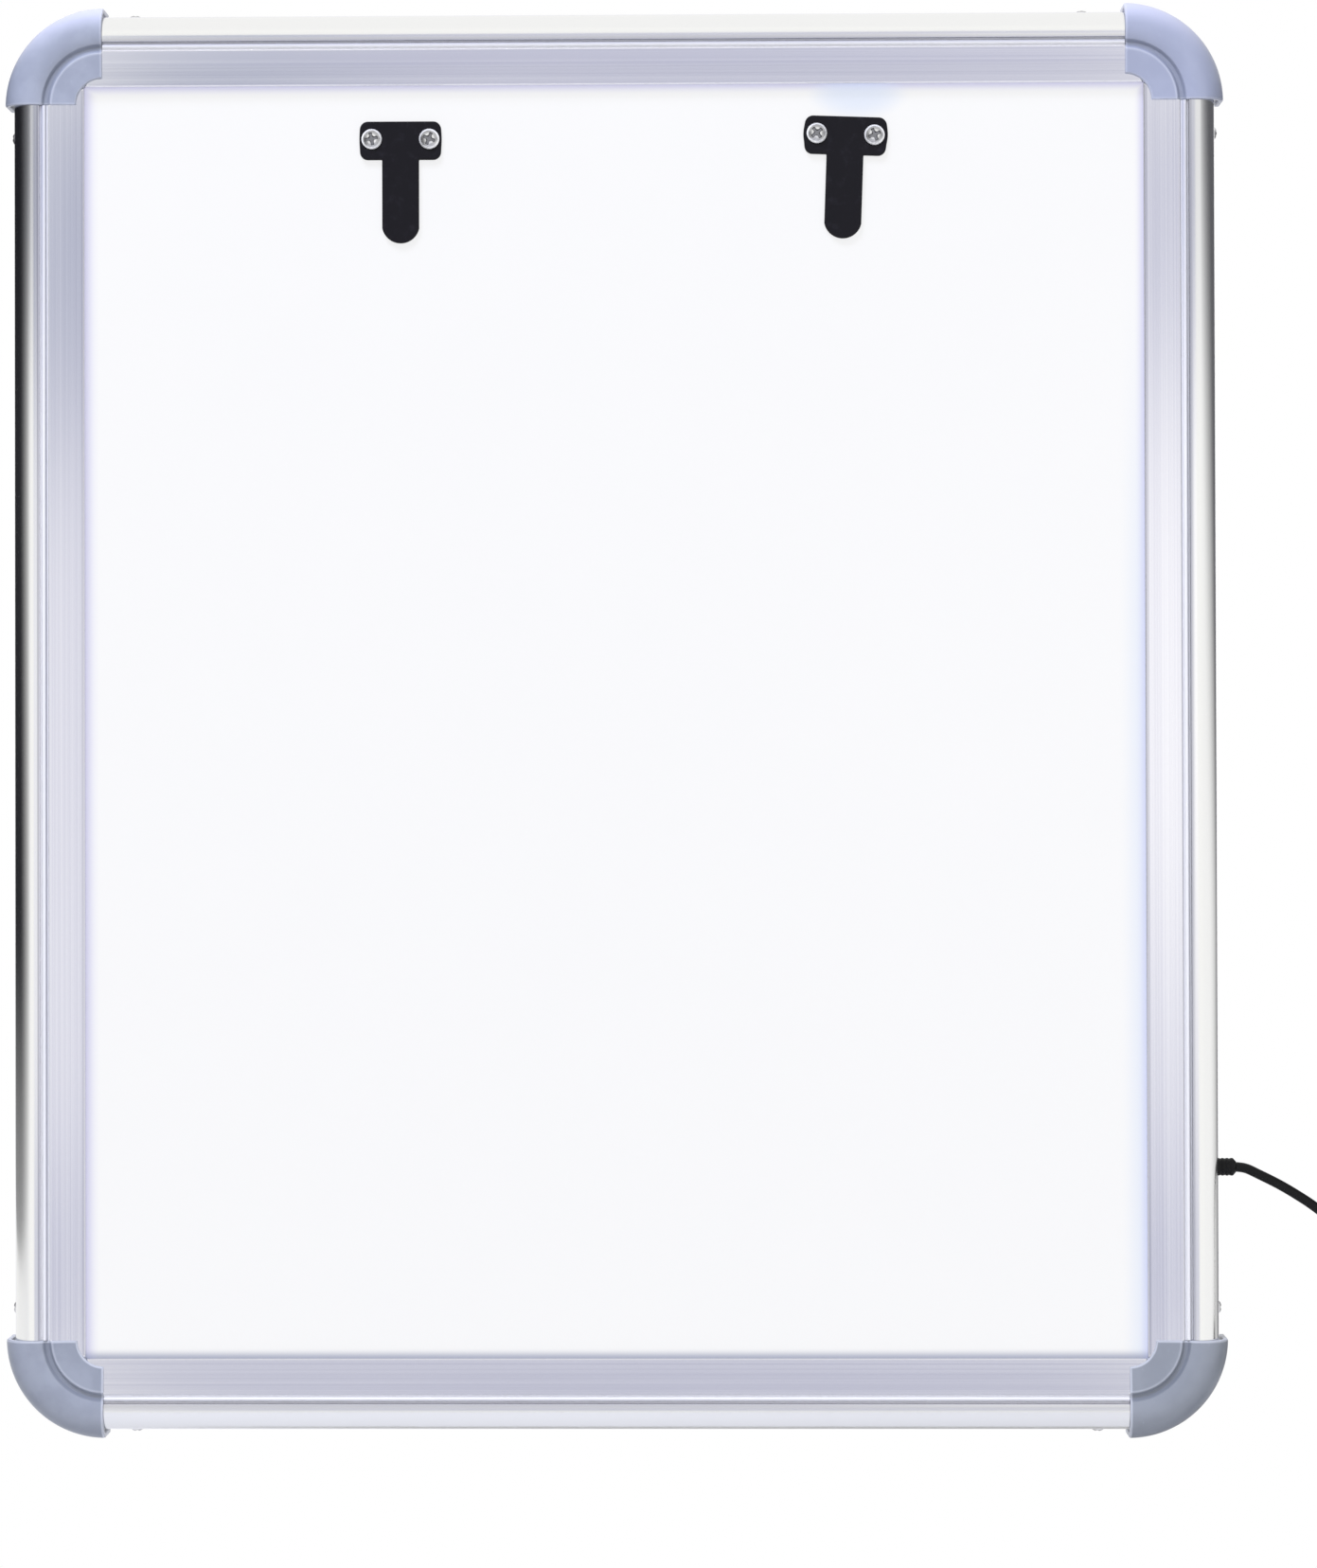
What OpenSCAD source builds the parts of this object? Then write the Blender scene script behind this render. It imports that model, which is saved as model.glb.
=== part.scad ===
// X-ray film viewer: an edge-lit screen in an aluminium frame, hung on a wall by two keyholes.
// The front faces -Y, +X is to the right and +Z is up. The wall is the plane y = 0, and the
// origin lies in that plane, midway between the round entries of the two keyholes.
// Across a rail, "in" counts from its outer face towards the screen, and "forward" from the wall.

/* [Screen] */
// Width of the screen opening between the side rails
opening_w = 358.5; // [300:0.5:450]
// Height of the screen opening between the top and bottom rails
opening_h = 430.5; // [360:0.5:520]
// Depth of the screen below the inner edge of the rails' front
screen_recess = 3.8; // [3:0.1:6]
// Thickness of the white diffuser
diffuser_t = 3; // [2:0.1:4]
// Thickness of the clear light guide
guide_t = 4; // [3:0.1:6]
// Thickness of the reflecting sheet
reflector_t = 0.5; // [0.3:0.1:1]
// Thickness of the back panel
panel_t = 3; // [2.6:0.1:4]

/* [Rails] */
// Width of a rail, seen from the front
rail_w = 24.2; // [23.6:0.1:27]
// Wall thickness of the extrusion
rail_wall = 1.5; // [1.2:0.1:1.7]
// Width of the closed box along the outer side of a rail
box_w = 16.5; // [16:0.1:17]
// Radius of the bead along the outer edge
bead_r = 7; // [6:0.1:7.4]
// Width of the bead, from the outer face to the first groove
bead_w = 9.1; // [8.6:0.1:9.5]
// Width of each of the two grooves beside the ridge
groove_w = 0.6; // [0.4:0.1:0.9]
// Width of the rounded ridge between the grooves
ridge_w = 1.7; // [1.4:0.1:2]
// How far the ridge lies below the crown of the bead
ridge_drop = 0.7; // [0.4:0.1:1]
// How far the flat starts below the crown of the bead
flat_drop = 1; // [0.8:0.1:1.3]
// How far the flat falls from the ridge to the screen
flat_fall = 0.8; // [0.4:0.1:1]
// Thickness of the lip that turns down to the screen
lip_t = 1.3; // [1:0.1:1.6]
// Distance from the wall to the flange that the back panel rests on
panel_seat = 5.5; // [5:0.1:6.5]
// Thickness of that flange
flange_t = 1.5; // [1.2:0.1:1.8]

/* [Corner pieces] */
// How far the centre of a corner's sweep lies inside the screen opening
corner_in = 6.2; // [6:0.1:6.6]
// How far a corner piece stands out beyond the outer faces of the rails
corner_proud = 3.2; // [2.6:0.1:4]
// How far a corner piece stands in front of the rails
corner_step = 0.8; // [0.5:0.1:1.2]
// Thickness of the skin round the outer side
corner_skin = 1.8; // [1.5:0.1:2]
// Radius of the rounding along the outer band
dome_r = 9; // [8.6:0.1:9.4]
// Radius of the groove between the outer band and the inner band
corner_groove_r = 19; // [18.6:0.1:19.3]
// Width of that groove
corner_groove_w = 3; // [2.4:0.1:3.2]
// Depth of that groove
corner_groove_deep = 1.1; // [0.6:0.1:1.4]
// Width of the slope on each side of that groove
corner_groove_slope = 0.9; // [0.6:0.1:1.1]
// Radius of the notch at the corner of the screen
notch_r = 8.8; // [8.6:0.1:9]
// Width of the chamfer along the notch
notch_edge = 0.5; // [0.3:0.1:0.8]
// Length of each leg that plugs into a rail
leg_len = 25; // [20:0.5:32]
// Width of the chamfers at a leg's tip
leg_tip = 2; // [1:0.1:3]
// Depth of the moulding's hollows, from the back
hollow_deep = 12; // [8:0.5:14]
// Wall between a hollow and the inner and outer sides of the core
hollow_wall = 2.4; // [1.8:0.1:3]

/* [Corner screws] */
// Diameter of a head
corner_head_d = 5; // [4.6:0.1:5.6]
// Height of a head
corner_head_h = 1.6; // [1.3:0.1:1.8]
// Diameter of a shank
corner_shank_d = 2.9; // [2.6:0.1:3.2]
// Length of a shank
corner_shank_len = 10; // [8:0.5:12]
// Distance from the end of a corner piece to its screws
corner_screw_in = 10; // [8:0.1:12]
// The same distance for the screw of the top rail's right end, which sits further along
top_right_screw_in = 13.8; // [10:0.1:15]

/* [Keyholes] */
// Distance between the two keyholes in the top rail
keyhole_pitch = 240; // [150:1:280]
// Radius of a keyhole's round entry
keyhole_entry_r = 4.2; // [4:0.1:4.6]
// Radius of a keyhole's slot
keyhole_slot_r = 2.2; // [1.8:0.1:2.6]
// How far a keyhole's slot rises above the centre of its entry
keyhole_rise = 5; // [4:0.1:5.2]
// Distance from the top rail's outer face to the centre of an entry
keyhole_down = 9.5; // [9:0.1:10]

/* [Film clips] */
// Width of a clip's bar
clip_bar_w = 27.4; // [26:0.1:32]
// Height of a clip's bar
clip_bar_h = 13; // [11:0.1:15]
// Radius of the bar's corners
clip_corner_r = 2.5; // [1:0.1:4]
// Width of a clip's tongue
clip_tongue_w = 12.5; // [9:0.1:12.5]
// Length of a clip from the top of its bar to the tip of its tongue
clip_len = 41.3; // [34:0.1:50]
// Thickness of the rubber
clip_t = 2; // [1.4:0.1:2.6]
// How far the left clip's middle lies from the middle of the screen
left_clip_x = -72; // [-90:0.5:-50]
// How far the left clip's bar lies below the top of the opening
left_clip_down = 12; // [8:0.1:16]
// How far the right clip's middle lies from the middle of the screen
right_clip_x = 79; // [50:0.5:90]
// How far the right clip's bar lies below the top of the opening
right_clip_down = 11; // [8:0.1:16]
// How far the right clip leans clockwise, in degrees
right_clip_lean = 2; // [0:0.5:4]
// Distance between the two screws of a clip
clip_screw_pitch = 19.5; // [19.5:0.1:20]
// How far the screws lie below the top of the bar
clip_screw_down = 6; // [5:0.1:7]
// Diameter of a clip screw's head
clip_head_d = 6.9; // [6:0.1:7]
// Height of a clip screw's head
clip_head_h = 2.2; // [1.8:0.1:2.4]
// Diameter of a clip screw's shank
clip_shank_d = 2.9; // [2.6:0.1:3.2]
// How far a clip screw bites into the back panel
clip_screw_bite = 2.2; // [1.6:0.1:2.3]
// Length of the arms of the cross recess in a head
cross_len = 3.6; // [3:0.1:4]
// Width of the arms of the cross recess
cross_w = 0.9; // [0.7:0.1:1.2]
// Depth of the cross recess
cross_deep = 1.1; // [0.8:0.1:1.4]
// Radius of the rounded tip of a tongue
tongue_tip_r = 6.4; // [6.3:0.1:8]

/* [Light strips] */
// Thickness of a light strip's board
board_t = 1.1; // [0.8:0.1:1.6]
// Distance between light chips
chip_pitch = 10; // [8:0.5:16]
// Length of a light chip
chip_len = 3.5; // [2.5:0.1:4]
// Width of a light chip
chip_w = 2.8; // [2:0.1:3]
// Height of a light chip on its board
chip_h = 0.9; // [0.6:0.1:1.2]
// Diameter of an insulated wire
wire_d = 1.2; // [1:0.1:1.4]
// Distance between the two wires of a pair
wire_pitch = 1.7; // [1.6:0.1:2]
// Diameter of the hole that the supply wires pass through
wire_hole_d = 3.8; // [3.6:0.1:4.4]

/* [Cord] */
// Diameter of the cord
cord_d = 3.3; // [3:0.1:3.6]
// How far the cord leaves above the frame's bottom edge
relief_up = 88; // [60:0.5:160]
// Diameter of the strain relief outside the rail
relief_d = 6; // [5.6:0.1:8]
// Length of the strain relief outside the rail
relief_len = 6.4; // [5:0.1:12]
// Length of the cone at its outer end
relief_cone = 1.2; // [0.8:0.1:1.6]
// Depth of the rings round the strain relief
relief_ring_deep = 0.3; // [0.2:0.1:0.5]
// Number of rings round the strain relief
relief_rings = 3; // [2:1:4]
// Diameter of the neck that passes through the rail's wall
relief_neck_d = 4.8; // [4.2:0.1:5.2]
// Thickness of the lip behind the wall
relief_lip = 1.2; // [0.8:0.1:2]
// Radius of the coil at the middle of its turns
coil_mid_r = 18; // [17:0.1:24]
// Distance between neighbouring turns and layers of the coil
coil_pitch = 3.8; // [3.8:0.1:4.2]
// Layers of the coil
coil_layers = 4; // [2:2:4]
// Turns in each layer of the coil
coil_layer_turns = 3; // [2:1:3]
// Height of the tie round the coil
tie_w = 6; // [4:0.5:8]
// Thickness of the tie
tie_t = 1; // [0.8:0.1:1.6]

/* [Adaptor] */
// Width of the adaptor
adaptor_w = 36; // [34:0.5:46]
// Depth of the adaptor
adaptor_d = 28; // [28:0.5:30]
// Height of the adaptor's case, without its cover
adaptor_h = 57; // [52:0.5:70]
// Radius of the adaptor's upright corners
adaptor_r = 5; // [3:0.5:7]
// Wall thickness of the case
adaptor_wall = 2; // [1.6:0.1:2.4]
// Width and height of the step round the top of the case
adaptor_step = 2; // [1:0.1:3]
// Thickness of the cover that carries the pins
cover_t = 3; // [2.4:0.1:4]
// Height of the rim that the cover puts inside the case
cover_rim_h = 3; // [2:0.1:4]
// Thickness of that rim
cover_rim_t = 1.5; // [1.2:0.1:2]
// Diameter of a mains pin
pin_d = 4; // [3.9:0.1:4.1]
// Distance between the mains pins
pin_pitch = 19; // [18:0.1:20]
// Length of a mains pin outside the cover
pin_len = 19; // [17:0.5:20]
// Diameter of the stub that passes through the cover
pin_stub_d = 3.2; // [2.4:0.1:3.6]
// Length of a mains pin inside the case
pin_tail = 4; // [2:0.5:6]
// Length of the adaptor's strain relief
taper_len = 14; // [12:0.5:24]
// Diameter of that strain relief at the case
taper_d = 8.4; // [7:0.1:10]
// Width of the adaptor's circuit board
circuit_w = 28; // [26:0.5:29]
// Height of the circuit board
circuit_h = 44; // [40:0.5:48]
// Thickness of the circuit board
circuit_t = 1.6; // [1:0.1:2]
// Width of the transformer
transformer_w = 16; // [12:0.5:20]
// Depth of the transformer
transformer_d = 11; // [8:0.5:11]
// Height of the transformer
transformer_h = 14; // [10:0.5:18]
// Diameter of the smoothing capacitor
capacitor_d = 8; // [6:0.5:8]
// Length of the smoothing capacitor
capacitor_len = 14; // [10:0.5:16]

/* [Hidden] */
$fn = 48;
sweep_fn = 96;

// Clearances
overrun = 1;
sheet_gap = 0.1;
edge_gap = 0.5;
rail_end_gap = 0.1;
leg_gap = 0.3;
hole_gap = 0.1;
screw_hole_gap = 0.2;
notch_gap = 0.2;
flange_clear = 0.6;
chip_gap = 0.4;
wire_gap = 0.3;
tongue_gap = 0.2;
split_gap = 0.3;
tie_gap = 0.35;
rim_gap = 0.15;
board_end_gap = 0.2;
circuit_gap = 0.3;

// Small sizes of single pieces
leg_root = 2;
panel_skin = 0.4;
hollow_angle = 30;
hollow_start = 10;
head_rim_share = 0.16;
screw_tip = 1.2;
taper_top_wall = 0.8;
taper_ring_deep = 0.5;
taper_rings = 4;
taper_neck_d = 5.4;
taper_lip = 1.2;
circuit_margin = 1.6;
capacitor_up = 8;
coil_steps = 24;
coil_sides = 6;
cord_sides = 8;

// Forward places of the sheets in the rails' slot
panel_v = panel_seat + sheet_gap;
reflector_v = panel_v + panel_t + sheet_gap;
guide_v = reflector_v + reflector_t + sheet_gap;
diffuser_v = guide_v + guide_t + sheet_gap;
screen_v = diffuser_v + diffuser_t;
lip_v = screen_v + sheet_gap;
cord_v = (panel_v + panel_t + diffuser_v) / 2;

// Forward places of the rail's front
flat_edge_v = screen_v + screen_recess;
flat_top_v = flat_edge_v + flat_fall;
rail_d = flat_top_v + flat_drop;
bead_v = rail_d - bead_r;
front_in_v = flat_edge_v - rail_wall;
ridge_v = rail_d - ridge_drop - ridge_w / 2;

// Inward places across the rail
ridge_in = bead_w + groove_w + ridge_w / 2;
flat_in = bead_w + 2 * groove_w + ridge_w;
flange_edge = notch_r - corner_in + flange_clear;
slot_in = box_w + edge_gap;
board_in = box_w + sheet_gap;
chip_in = board_in + board_t;
guide_side_in = chip_in + chip_h + chip_gap;
jumper_in = box_w + wire_gap + wire_d / 2;
guide_bottom_in = jumper_in + wire_d / 2 + wire_gap;
board_end_in = box_w + board_end_gap;

// Corner pieces
rail_outer_r = corner_in + rail_w;
corner_r = rail_outer_r + corner_proud;
corner_top_v = rail_d + corner_step;
dome_v = corner_top_v - dome_r;
dome_mid_r = corner_r - dome_r;
groove_out_r = corner_groove_r + corner_groove_w / 2;
groove_in_r = corner_groove_r - corner_groove_w / 2;
dome_edge_v = dome_v + sqrt(dome_r * dome_r - (dome_mid_r - groove_out_r) * (dome_mid_r - groove_out_r));
band_v = flat_top_v + corner_step;
band_edge_v = flat_edge_v + corner_step;
groove_floor_v = band_v - corner_groove_deep;
slot_r = rail_outer_r - box_w;
hollow_in_r = slot_r * sqrt(2) + hollow_wall;
hollow_out_r = rail_outer_r - hollow_wall;
leg_v = rail_wall + leg_gap;
leg_top_v = bead_v - leg_gap;
leg_low = rail_outer_r - box_w + rail_wall + leg_gap;
leg_high = rail_outer_r - rail_wall - leg_gap;
screw_v = (leg_v + leg_top_v) / 2;

// Places on the wall
opening_z = -(opening_h / 2 + rail_w - keyhole_down);
opening_top = opening_z + opening_h / 2;
frame_bottom = opening_z - opening_h / 2 - rail_w;
rail_outer_x = opening_w / 2 + rail_w;
relief_z = frame_bottom + relief_up;

// Film clips: across, down and lean of each
clips = [
    [left_clip_x, left_clip_down, 0],
    [right_clip_x, right_clip_down, right_clip_lean]
];
clip_shank_len = clip_t + screen_v - panel_v - panel_t + clip_screw_bite;
clip_pilot_d = clip_shank_d + 2 * hole_gap;
clip_hole_d = clip_shank_d + 2 * screw_hole_gap;

// The cord's free stretch from the strain relief to the coil, and the tail below the coil,
// as places from the point where each begins. They are set by hand, in millimetres.
lead_start = [rail_outer_x + relief_len, -cord_v, relief_z];
lead_route = [
    [0, 0, 0], [3.5, 0, 0], [8, 0, -2.2], [14, 0.2, -5.5], [20, 0.6, -9.2], [26.5, 1, -13.5],
    [34.5, 1.8, -20], [41, 2.6, -27.5], [46, 3.4, -36], [50, 4.2, -45.5], [51.5, 5, -55],
    [52, 5.5, -64], [52, 5.5, -72], [52, 5.5, -80]
];
tail_route = [[0, 0, 0], [0, 0, -7], [0, 0, -14], [0, 0, -21], [0, 0, -28]];

// The coil hangs from the lead's end: its first and last turns are tangent to the upright cord
coil_start = lead_start + lead_route[len(lead_route) - 1];
coil_turns = coil_layers * coil_layer_turns;
coil_out_r = coil_mid_r + coil_pitch * coil_layer_turns / 2;
coil_in_r = coil_mid_r - coil_pitch * coil_layer_turns / 2;
coil_x = coil_start[0] + coil_out_r;
coil_z = coil_start[2] - cord_d;
coil_deep = (coil_layers - 1) * coil_pitch;
tail_start = [coil_start[0], coil_start[1] - coil_deep, coil_z - cord_d];
adaptor_top = tail_start + tail_route[len(tail_route) - 1];
case_top_z = adaptor_top[2] - taper_len;
case_low_z = case_top_z - adaptor_h;
taper_end_d = cord_d + 2 * taper_top_wall;
circuit_y = pin_stub_d / 2 + circuit_gap;

function side_half(k) = (k % 2 == 0 ? opening_h : opening_w) / 2;
function side_span(k) = (k % 2 == 0 ? opening_w : opening_h) - 2 * corner_in;
function screw_in(k, end) = k == 0 && end == 1 ? top_right_screw_in : corner_screw_in;
function taper_at(up) = taper_d - (taper_d - taper_end_d) * up / taper_len;
function total(v, i = 0) = i < len(v) ? v[i] + total(v, i + 1) : 0;

// Sweeps: a tube of flat-sided rings along a list of points
function unit(v) = v / norm(v);
function along(p, i) = unit(p[min(i + 1, len(p) - 1)] - p[max(i - 1, 0)]);
function ring(centre, t, r, n) =
    let (s = unit(cross(t, [0, 1, 0])), b = cross(s, t))
    [for (k = [0 : n - 1]) centre + r * (cos(360 * k / n) * s + sin(360 * k / n) * b)];
function route_len(p) = total([for (i = [1 : len(p) - 1]) norm(p[i] - p[i - 1])]);

// The coil spirals in and out again at a steady rate, and climbs a layer in the half turn
// round each point where the spiral reverses
function coil_leg(t) = min(floor(t / coil_layer_turns), coil_layers - 1);
function coil_in(t) =
    let (n = coil_leg(t), f = t - n * coil_layer_turns)
    n % 2 == 0 ? f : coil_layer_turns - f;
function climb(u) = u <= 0 ? 0 : u >= 1 ? 1 : (1 - cos(180 * u)) / 2;
function coil_climbs(t) =
    total([for (n = [1 : coil_layers - 1]) climb(2 * (t - n * coil_layer_turns) + 1 / 2)]);
function coil_point(t) =
    let (r = coil_out_r - coil_pitch * coil_in(t), a = 180 + 360 * t)
    [coil_x + r * cos(a), coil_start[1] - coil_pitch * coil_climbs(t), coil_z + r * sin(a)];
coil_loops = [for (i = [0 : coil_turns * coil_steps]) coil_point(i / coil_steps)];
coil_path = concat([coil_start], coil_loops, [tail_start]);

union() {  // cord_coil
    apart = min([
        for (i = [0 : len(coil_loops) - 1])
            for (j = [i + coil_steps / 2 : 1 : len(coil_loops) - 1])
                norm(coil_loops[i] - coil_loops[j])
    ]);
    echo(coil_least_gap = apart - cord_d);
    echo(cord_length = route_len(lead_route) + route_len(coil_path) + route_len(tail_route));
}

// Shared shapes
module rounded_plate(w, h, r) {
    square([w - 2 * r, h], center = true);
    square([w, h - 2 * r], center = true);
    for (x = [-1, 1], y = [-1, 1])
        translate([x * (w / 2 - r), y * (h / 2 - r)])
            circle(r = r);
}

module tube(points, r, sides) {
    last = len(points) - 1;
    rings = [for (i = [0 : last]) each ring(points[i], along(points, i), r, sides)];
    skin = [
        for (i = [0 : last - 1])
            for (k = [0 : sides - 1])
                let (a = i * sides + k, b = i * sides + (k + 1) % sides)
                each [[a, b, b + sides], [a, b + sides, a + sides]]
    ];
    ends = [
        for (k = [1 : sides - 2])
            each [[0, k + 1, k], [last * sides, last * sides + k, last * sides + k + 1]]
    ];
    polyhedron(points = rings, faces = concat(skin, ends));
}

// A head's upright rim takes a share of its height, and a ball rounds the rest
module pan_head(d, h) {
    dome_h = h * (1 - head_rim_share);
    ball = (dome_h * dome_h + d * d / 4) / (2 * dome_h);
    intersection() {
        cylinder(d = d, h = h);
        translate([0, 0, h - ball])
            sphere(r = ball);
    }
}

module screw(head_d, head_h, shank_d, shank_len) {
    difference() {
        union() {
            pan_head(head_d, head_h);
            translate([0, 0, -(shank_len - screw_tip)])
                cylinder(d = shank_d, h = shank_len - screw_tip + head_h / 2);
            translate([0, 0, -shank_len])
                cylinder(d1 = shank_d / 2, d2 = shank_d, h = screw_tip);
        }
        for (turn = [0, 90])
            rotate([0, 0, turn])
                translate([-cross_len / 2, -cross_w / 2, head_h - cross_deep])
                    cube([cross_len, cross_w, cross_deep + overrun]);
    }
}

// Places: side 0 is the top, 1 the right, 2 the bottom and 3 the left. There x runs along the
// rail, and z runs outwards from the edge of the opening.
module at_side(k) {
    translate([0, 0, opening_z])
        rotate([0, 90 * k, 0])
            translate([0, 0, side_half(k)])
                children();
}

// Corner k lies at the far end of side k. There x and z run outwards from the sweep's centre.
module at_corner(k) {
    at_side(k)
        translate([side_span(k) / 2, 0, -corner_in])
            children();
}

// At a clip, x runs along its bar, z rises to the top of the bar, and -y is its thickness
module at_clip(clip) {
    translate([clip[0], -screen_v, opening_top - clip[1]])
        rotate([0, clip[2], 0])
            children();
}

module at_clip_screws(clip) {
    at_clip(clip)
        for (x = [-1, 1])
            translate([x * clip_screw_pitch / 2, 0, -clip_screw_down])
                rotate([90, 0, 0])
                    children();
}

// A block of a given depth, forward from a given place, whose edges lie in the rails' slot
module sheet(v, t, side_in, top_in, bottom_in) {
    w = opening_w + 2 * (rail_w - side_in);
    low = -opening_h / 2 - rail_w + bottom_in;
    high = opening_h / 2 + rail_w - top_in;
    translate([-w / 2, -v - t, opening_z + low])
        cube([w, t, high - low]);
}

// Rails
module rail_outline() {
    square([box_w, bead_v]);
    intersection() {
        translate([bead_r, bead_v])
            circle(r = bead_r);
        translate([0, bead_v])
            square([bead_w, bead_r]);
    }
    polygon([
        [bead_r, bead_v], [box_w, bead_v], [box_w, front_in_v], [rail_w, front_in_v],
        [rail_w, flat_edge_v], [flat_in, flat_top_v], [flat_in, ridge_v], [bead_r, ridge_v]
    ]);
    translate([ridge_in, ridge_v])
        circle(d = ridge_w);
    translate([rail_w - lip_t, lip_v])
        square([lip_t, front_in_v - lip_v + rail_wall / 2]);
    translate([box_w - rail_wall / 2, panel_seat - flange_t])
        square([rail_w - flange_edge - box_w + rail_wall / 2, flange_t]);
}

module rail_cavity() {
    translate([rail_wall, rail_wall])
        square([box_w - 2 * rail_wall, bead_v - rail_wall]);
    intersection() {
        translate([bead_r, bead_v])
            circle(r = bead_r - rail_wall);
        translate([0, bead_v - rail_wall])
            square([bead_r, bead_r]);
    }
    translate([bead_r, bead_v - rail_wall])
        square([box_w - rail_wall - bead_r, front_in_v - bead_v + rail_wall]);
}

module rail_bar(length) {
    translate([0, 0, rail_w])
        rotate([0, 90, 180])
            linear_extrude(height = length, center = true)
                difference() {
                    rail_outline();
                    rail_cavity();
                }
}

// The lips run on into the notches of the corner pieces
module rail(k) {
    difference() {
        union() {
            rail_bar(side_span(k) - 2 * rail_end_gap);
            for (end = [-1, 1])
                intersection() {
                    translate([end * side_span(k) / 2, 0, 0])
                        rail_bar(2 * notch_r);
                    translate([end * side_span(k) / 2, 0, -corner_in])
                        rotate([90, 0, 0])
                            cylinder(r = notch_r - notch_gap, h = rail_d + overrun);
                }
        }
        for (end = [-1, 1])
            translate([end * (side_span(k) / 2 - screw_in(k, end)), -screw_v, rail_w - rail_wall - overrun])
                cylinder(d = corner_shank_d + 2 * screw_hole_gap, h = rail_wall + 2 * overrun);
    }
}

module rail_colour() {
    color([0.80, 0.81, 0.86])
        children();
}

module keyhole() {
    translate([0, overrun, 0])
        rotate([90, 0, 0]) {
            cylinder(r = keyhole_entry_r, h = rail_wall + 2 * overrun);
            translate([0, keyhole_rise, 0])
                cylinder(r = keyhole_slot_r, h = rail_wall + 2 * overrun);
            translate([-keyhole_slot_r, 0, 0])
                cube([2 * keyhole_slot_r, keyhole_rise, rail_wall + 2 * overrun]);
        }
}

module top_rail() {
    rail_colour()
        difference() {
            at_side(0)
                rail(0);
            for (x = [-1, 1])
                translate([x * keyhole_pitch / 2, 0, 0])
                    keyhole();
        }
}

module right_rail() {
    rail_colour()
        difference() {
            at_side(1)
                rail(1);
            translate([rail_outer_x - rail_wall - overrun, -cord_v, relief_z])
                rotate([0, 90, 0])
                    cylinder(d = relief_neck_d + 2 * hole_gap, h = rail_wall + 2 * overrun);
            translate([rail_outer_x - box_w - overrun, -cord_v, relief_z])
                rotate([0, 90, 0])
                    cylinder(d = wire_hole_d, h = rail_wall + 2 * overrun);
        }
}

module bottom_rail() {
    rail_colour()
        at_side(2)
            rail(2);
}

module left_rail() {
    rail_colour()
        at_side(3)
            rail(3);
}

// Corner pieces
module corner_outline() {
    translate([notch_r, 0])
        square([corner_r - notch_r, dome_v]);
    polygon([
        [notch_r, dome_v], [groove_out_r, dome_v], [groove_out_r, dome_edge_v],
        [groove_out_r - corner_groove_slope, groove_floor_v],
        [groove_in_r + corner_groove_slope, groove_floor_v],
        [groove_in_r, band_v], [notch_r + notch_edge, band_edge_v],
        [notch_r, band_edge_v - notch_edge]
    ]);
    intersection() {
        translate([dome_mid_r, dome_v])
            circle(r = dome_r);
        translate([groove_out_r, dome_v])
            square([corner_r - groove_out_r, dome_r]);
    }
}

// The gap between the skin and the core, open at both ends and at the back
module corner_channel() {
    translate([rail_outer_r, -overrun])
        square([corner_proud - corner_skin, dome_v + overrun]);
    intersection() {
        translate([dome_mid_r, dome_v])
            circle(r = dome_r - corner_skin);
        translate([rail_outer_r, dome_v - overrun])
            square([corner_proud, dome_r]);
    }
}

module corner_leg(pilot_in) {
    difference() {
        translate([0, -leg_v, 0])
            rotate([90, 0, 0])
                linear_extrude(height = leg_top_v - leg_v)
                    polygon([
                        [leg_root, leg_low], [leg_root, leg_high],
                        [leg_tip - leg_len, leg_high], [-leg_len, leg_high - leg_tip],
                        [-leg_len, leg_low + leg_tip], [leg_tip - leg_len, leg_low]
                    ]);
        translate([-pilot_in, -screw_v, rail_outer_r - corner_shank_len - overrun])
            cylinder(d = corner_shank_d + 2 * hole_gap, h = corner_shank_len + overrun);
    }
}

module corner_piece(k) {
    color([0.62, 0.66, 0.74])
        at_corner(k)
            difference() {
                union() {
                    rotate([90, 0, 0])
                        rotate_extrude(angle = 90, $fn = sweep_fn)
                            difference() {
                                corner_outline();
                                corner_channel();
                            }
                    corner_leg(screw_in(k, 1));
                    mirror([1, 0, -1])
                        corner_leg(screw_in((k + 1) % 4, -1));
                }
                translate([-overrun, -lip_v, -overrun])
                    cube([slot_r + overrun, lip_v - panel_seat, slot_r + overrun]);
                for (turn = [hollow_start, 90 - hollow_start - hollow_angle])
                    rotate([90, 0, 0])
                        rotate([0, 0, turn])
                            rotate_extrude(angle = hollow_angle, $fn = sweep_fn)
                                translate([hollow_in_r, -overrun])
                                    square([hollow_out_r - hollow_in_r, hollow_deep + overrun]);
            }
}

module corner_screws() {
    color("silver")
        for (k = [0 : 3], end = [-1, 1])
            at_side(k)
                translate([end * (side_span(k) / 2 - screw_in(k, end)), -screw_v, rail_w])
                    screw(corner_head_d, corner_head_h, corner_shank_d, corner_shank_len);
}

// Sheets in the slot
module clip_screw_holes(d, from_v, to_v) {
    for (clip = clips)
        at_clip_screws(clip)
            translate([0, 0, from_v - screen_v])
                cylinder(d = d, h = to_v - from_v);
}

module diffuser_screen() {
    color("white")
        difference() {
            sheet(diffuser_v, diffuser_t, slot_in, slot_in, slot_in);
            clip_screw_holes(clip_hole_d, diffuser_v - overrun, screen_v + overrun);
        }
}

module light_guide() {
    color([0.85, 0.92, 0.95])
        difference() {
            sheet(guide_v, guide_t, guide_side_in, slot_in, guide_bottom_in);
            clip_screw_holes(clip_hole_d, guide_v - overrun, guide_v + guide_t + overrun);
        }
}

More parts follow.
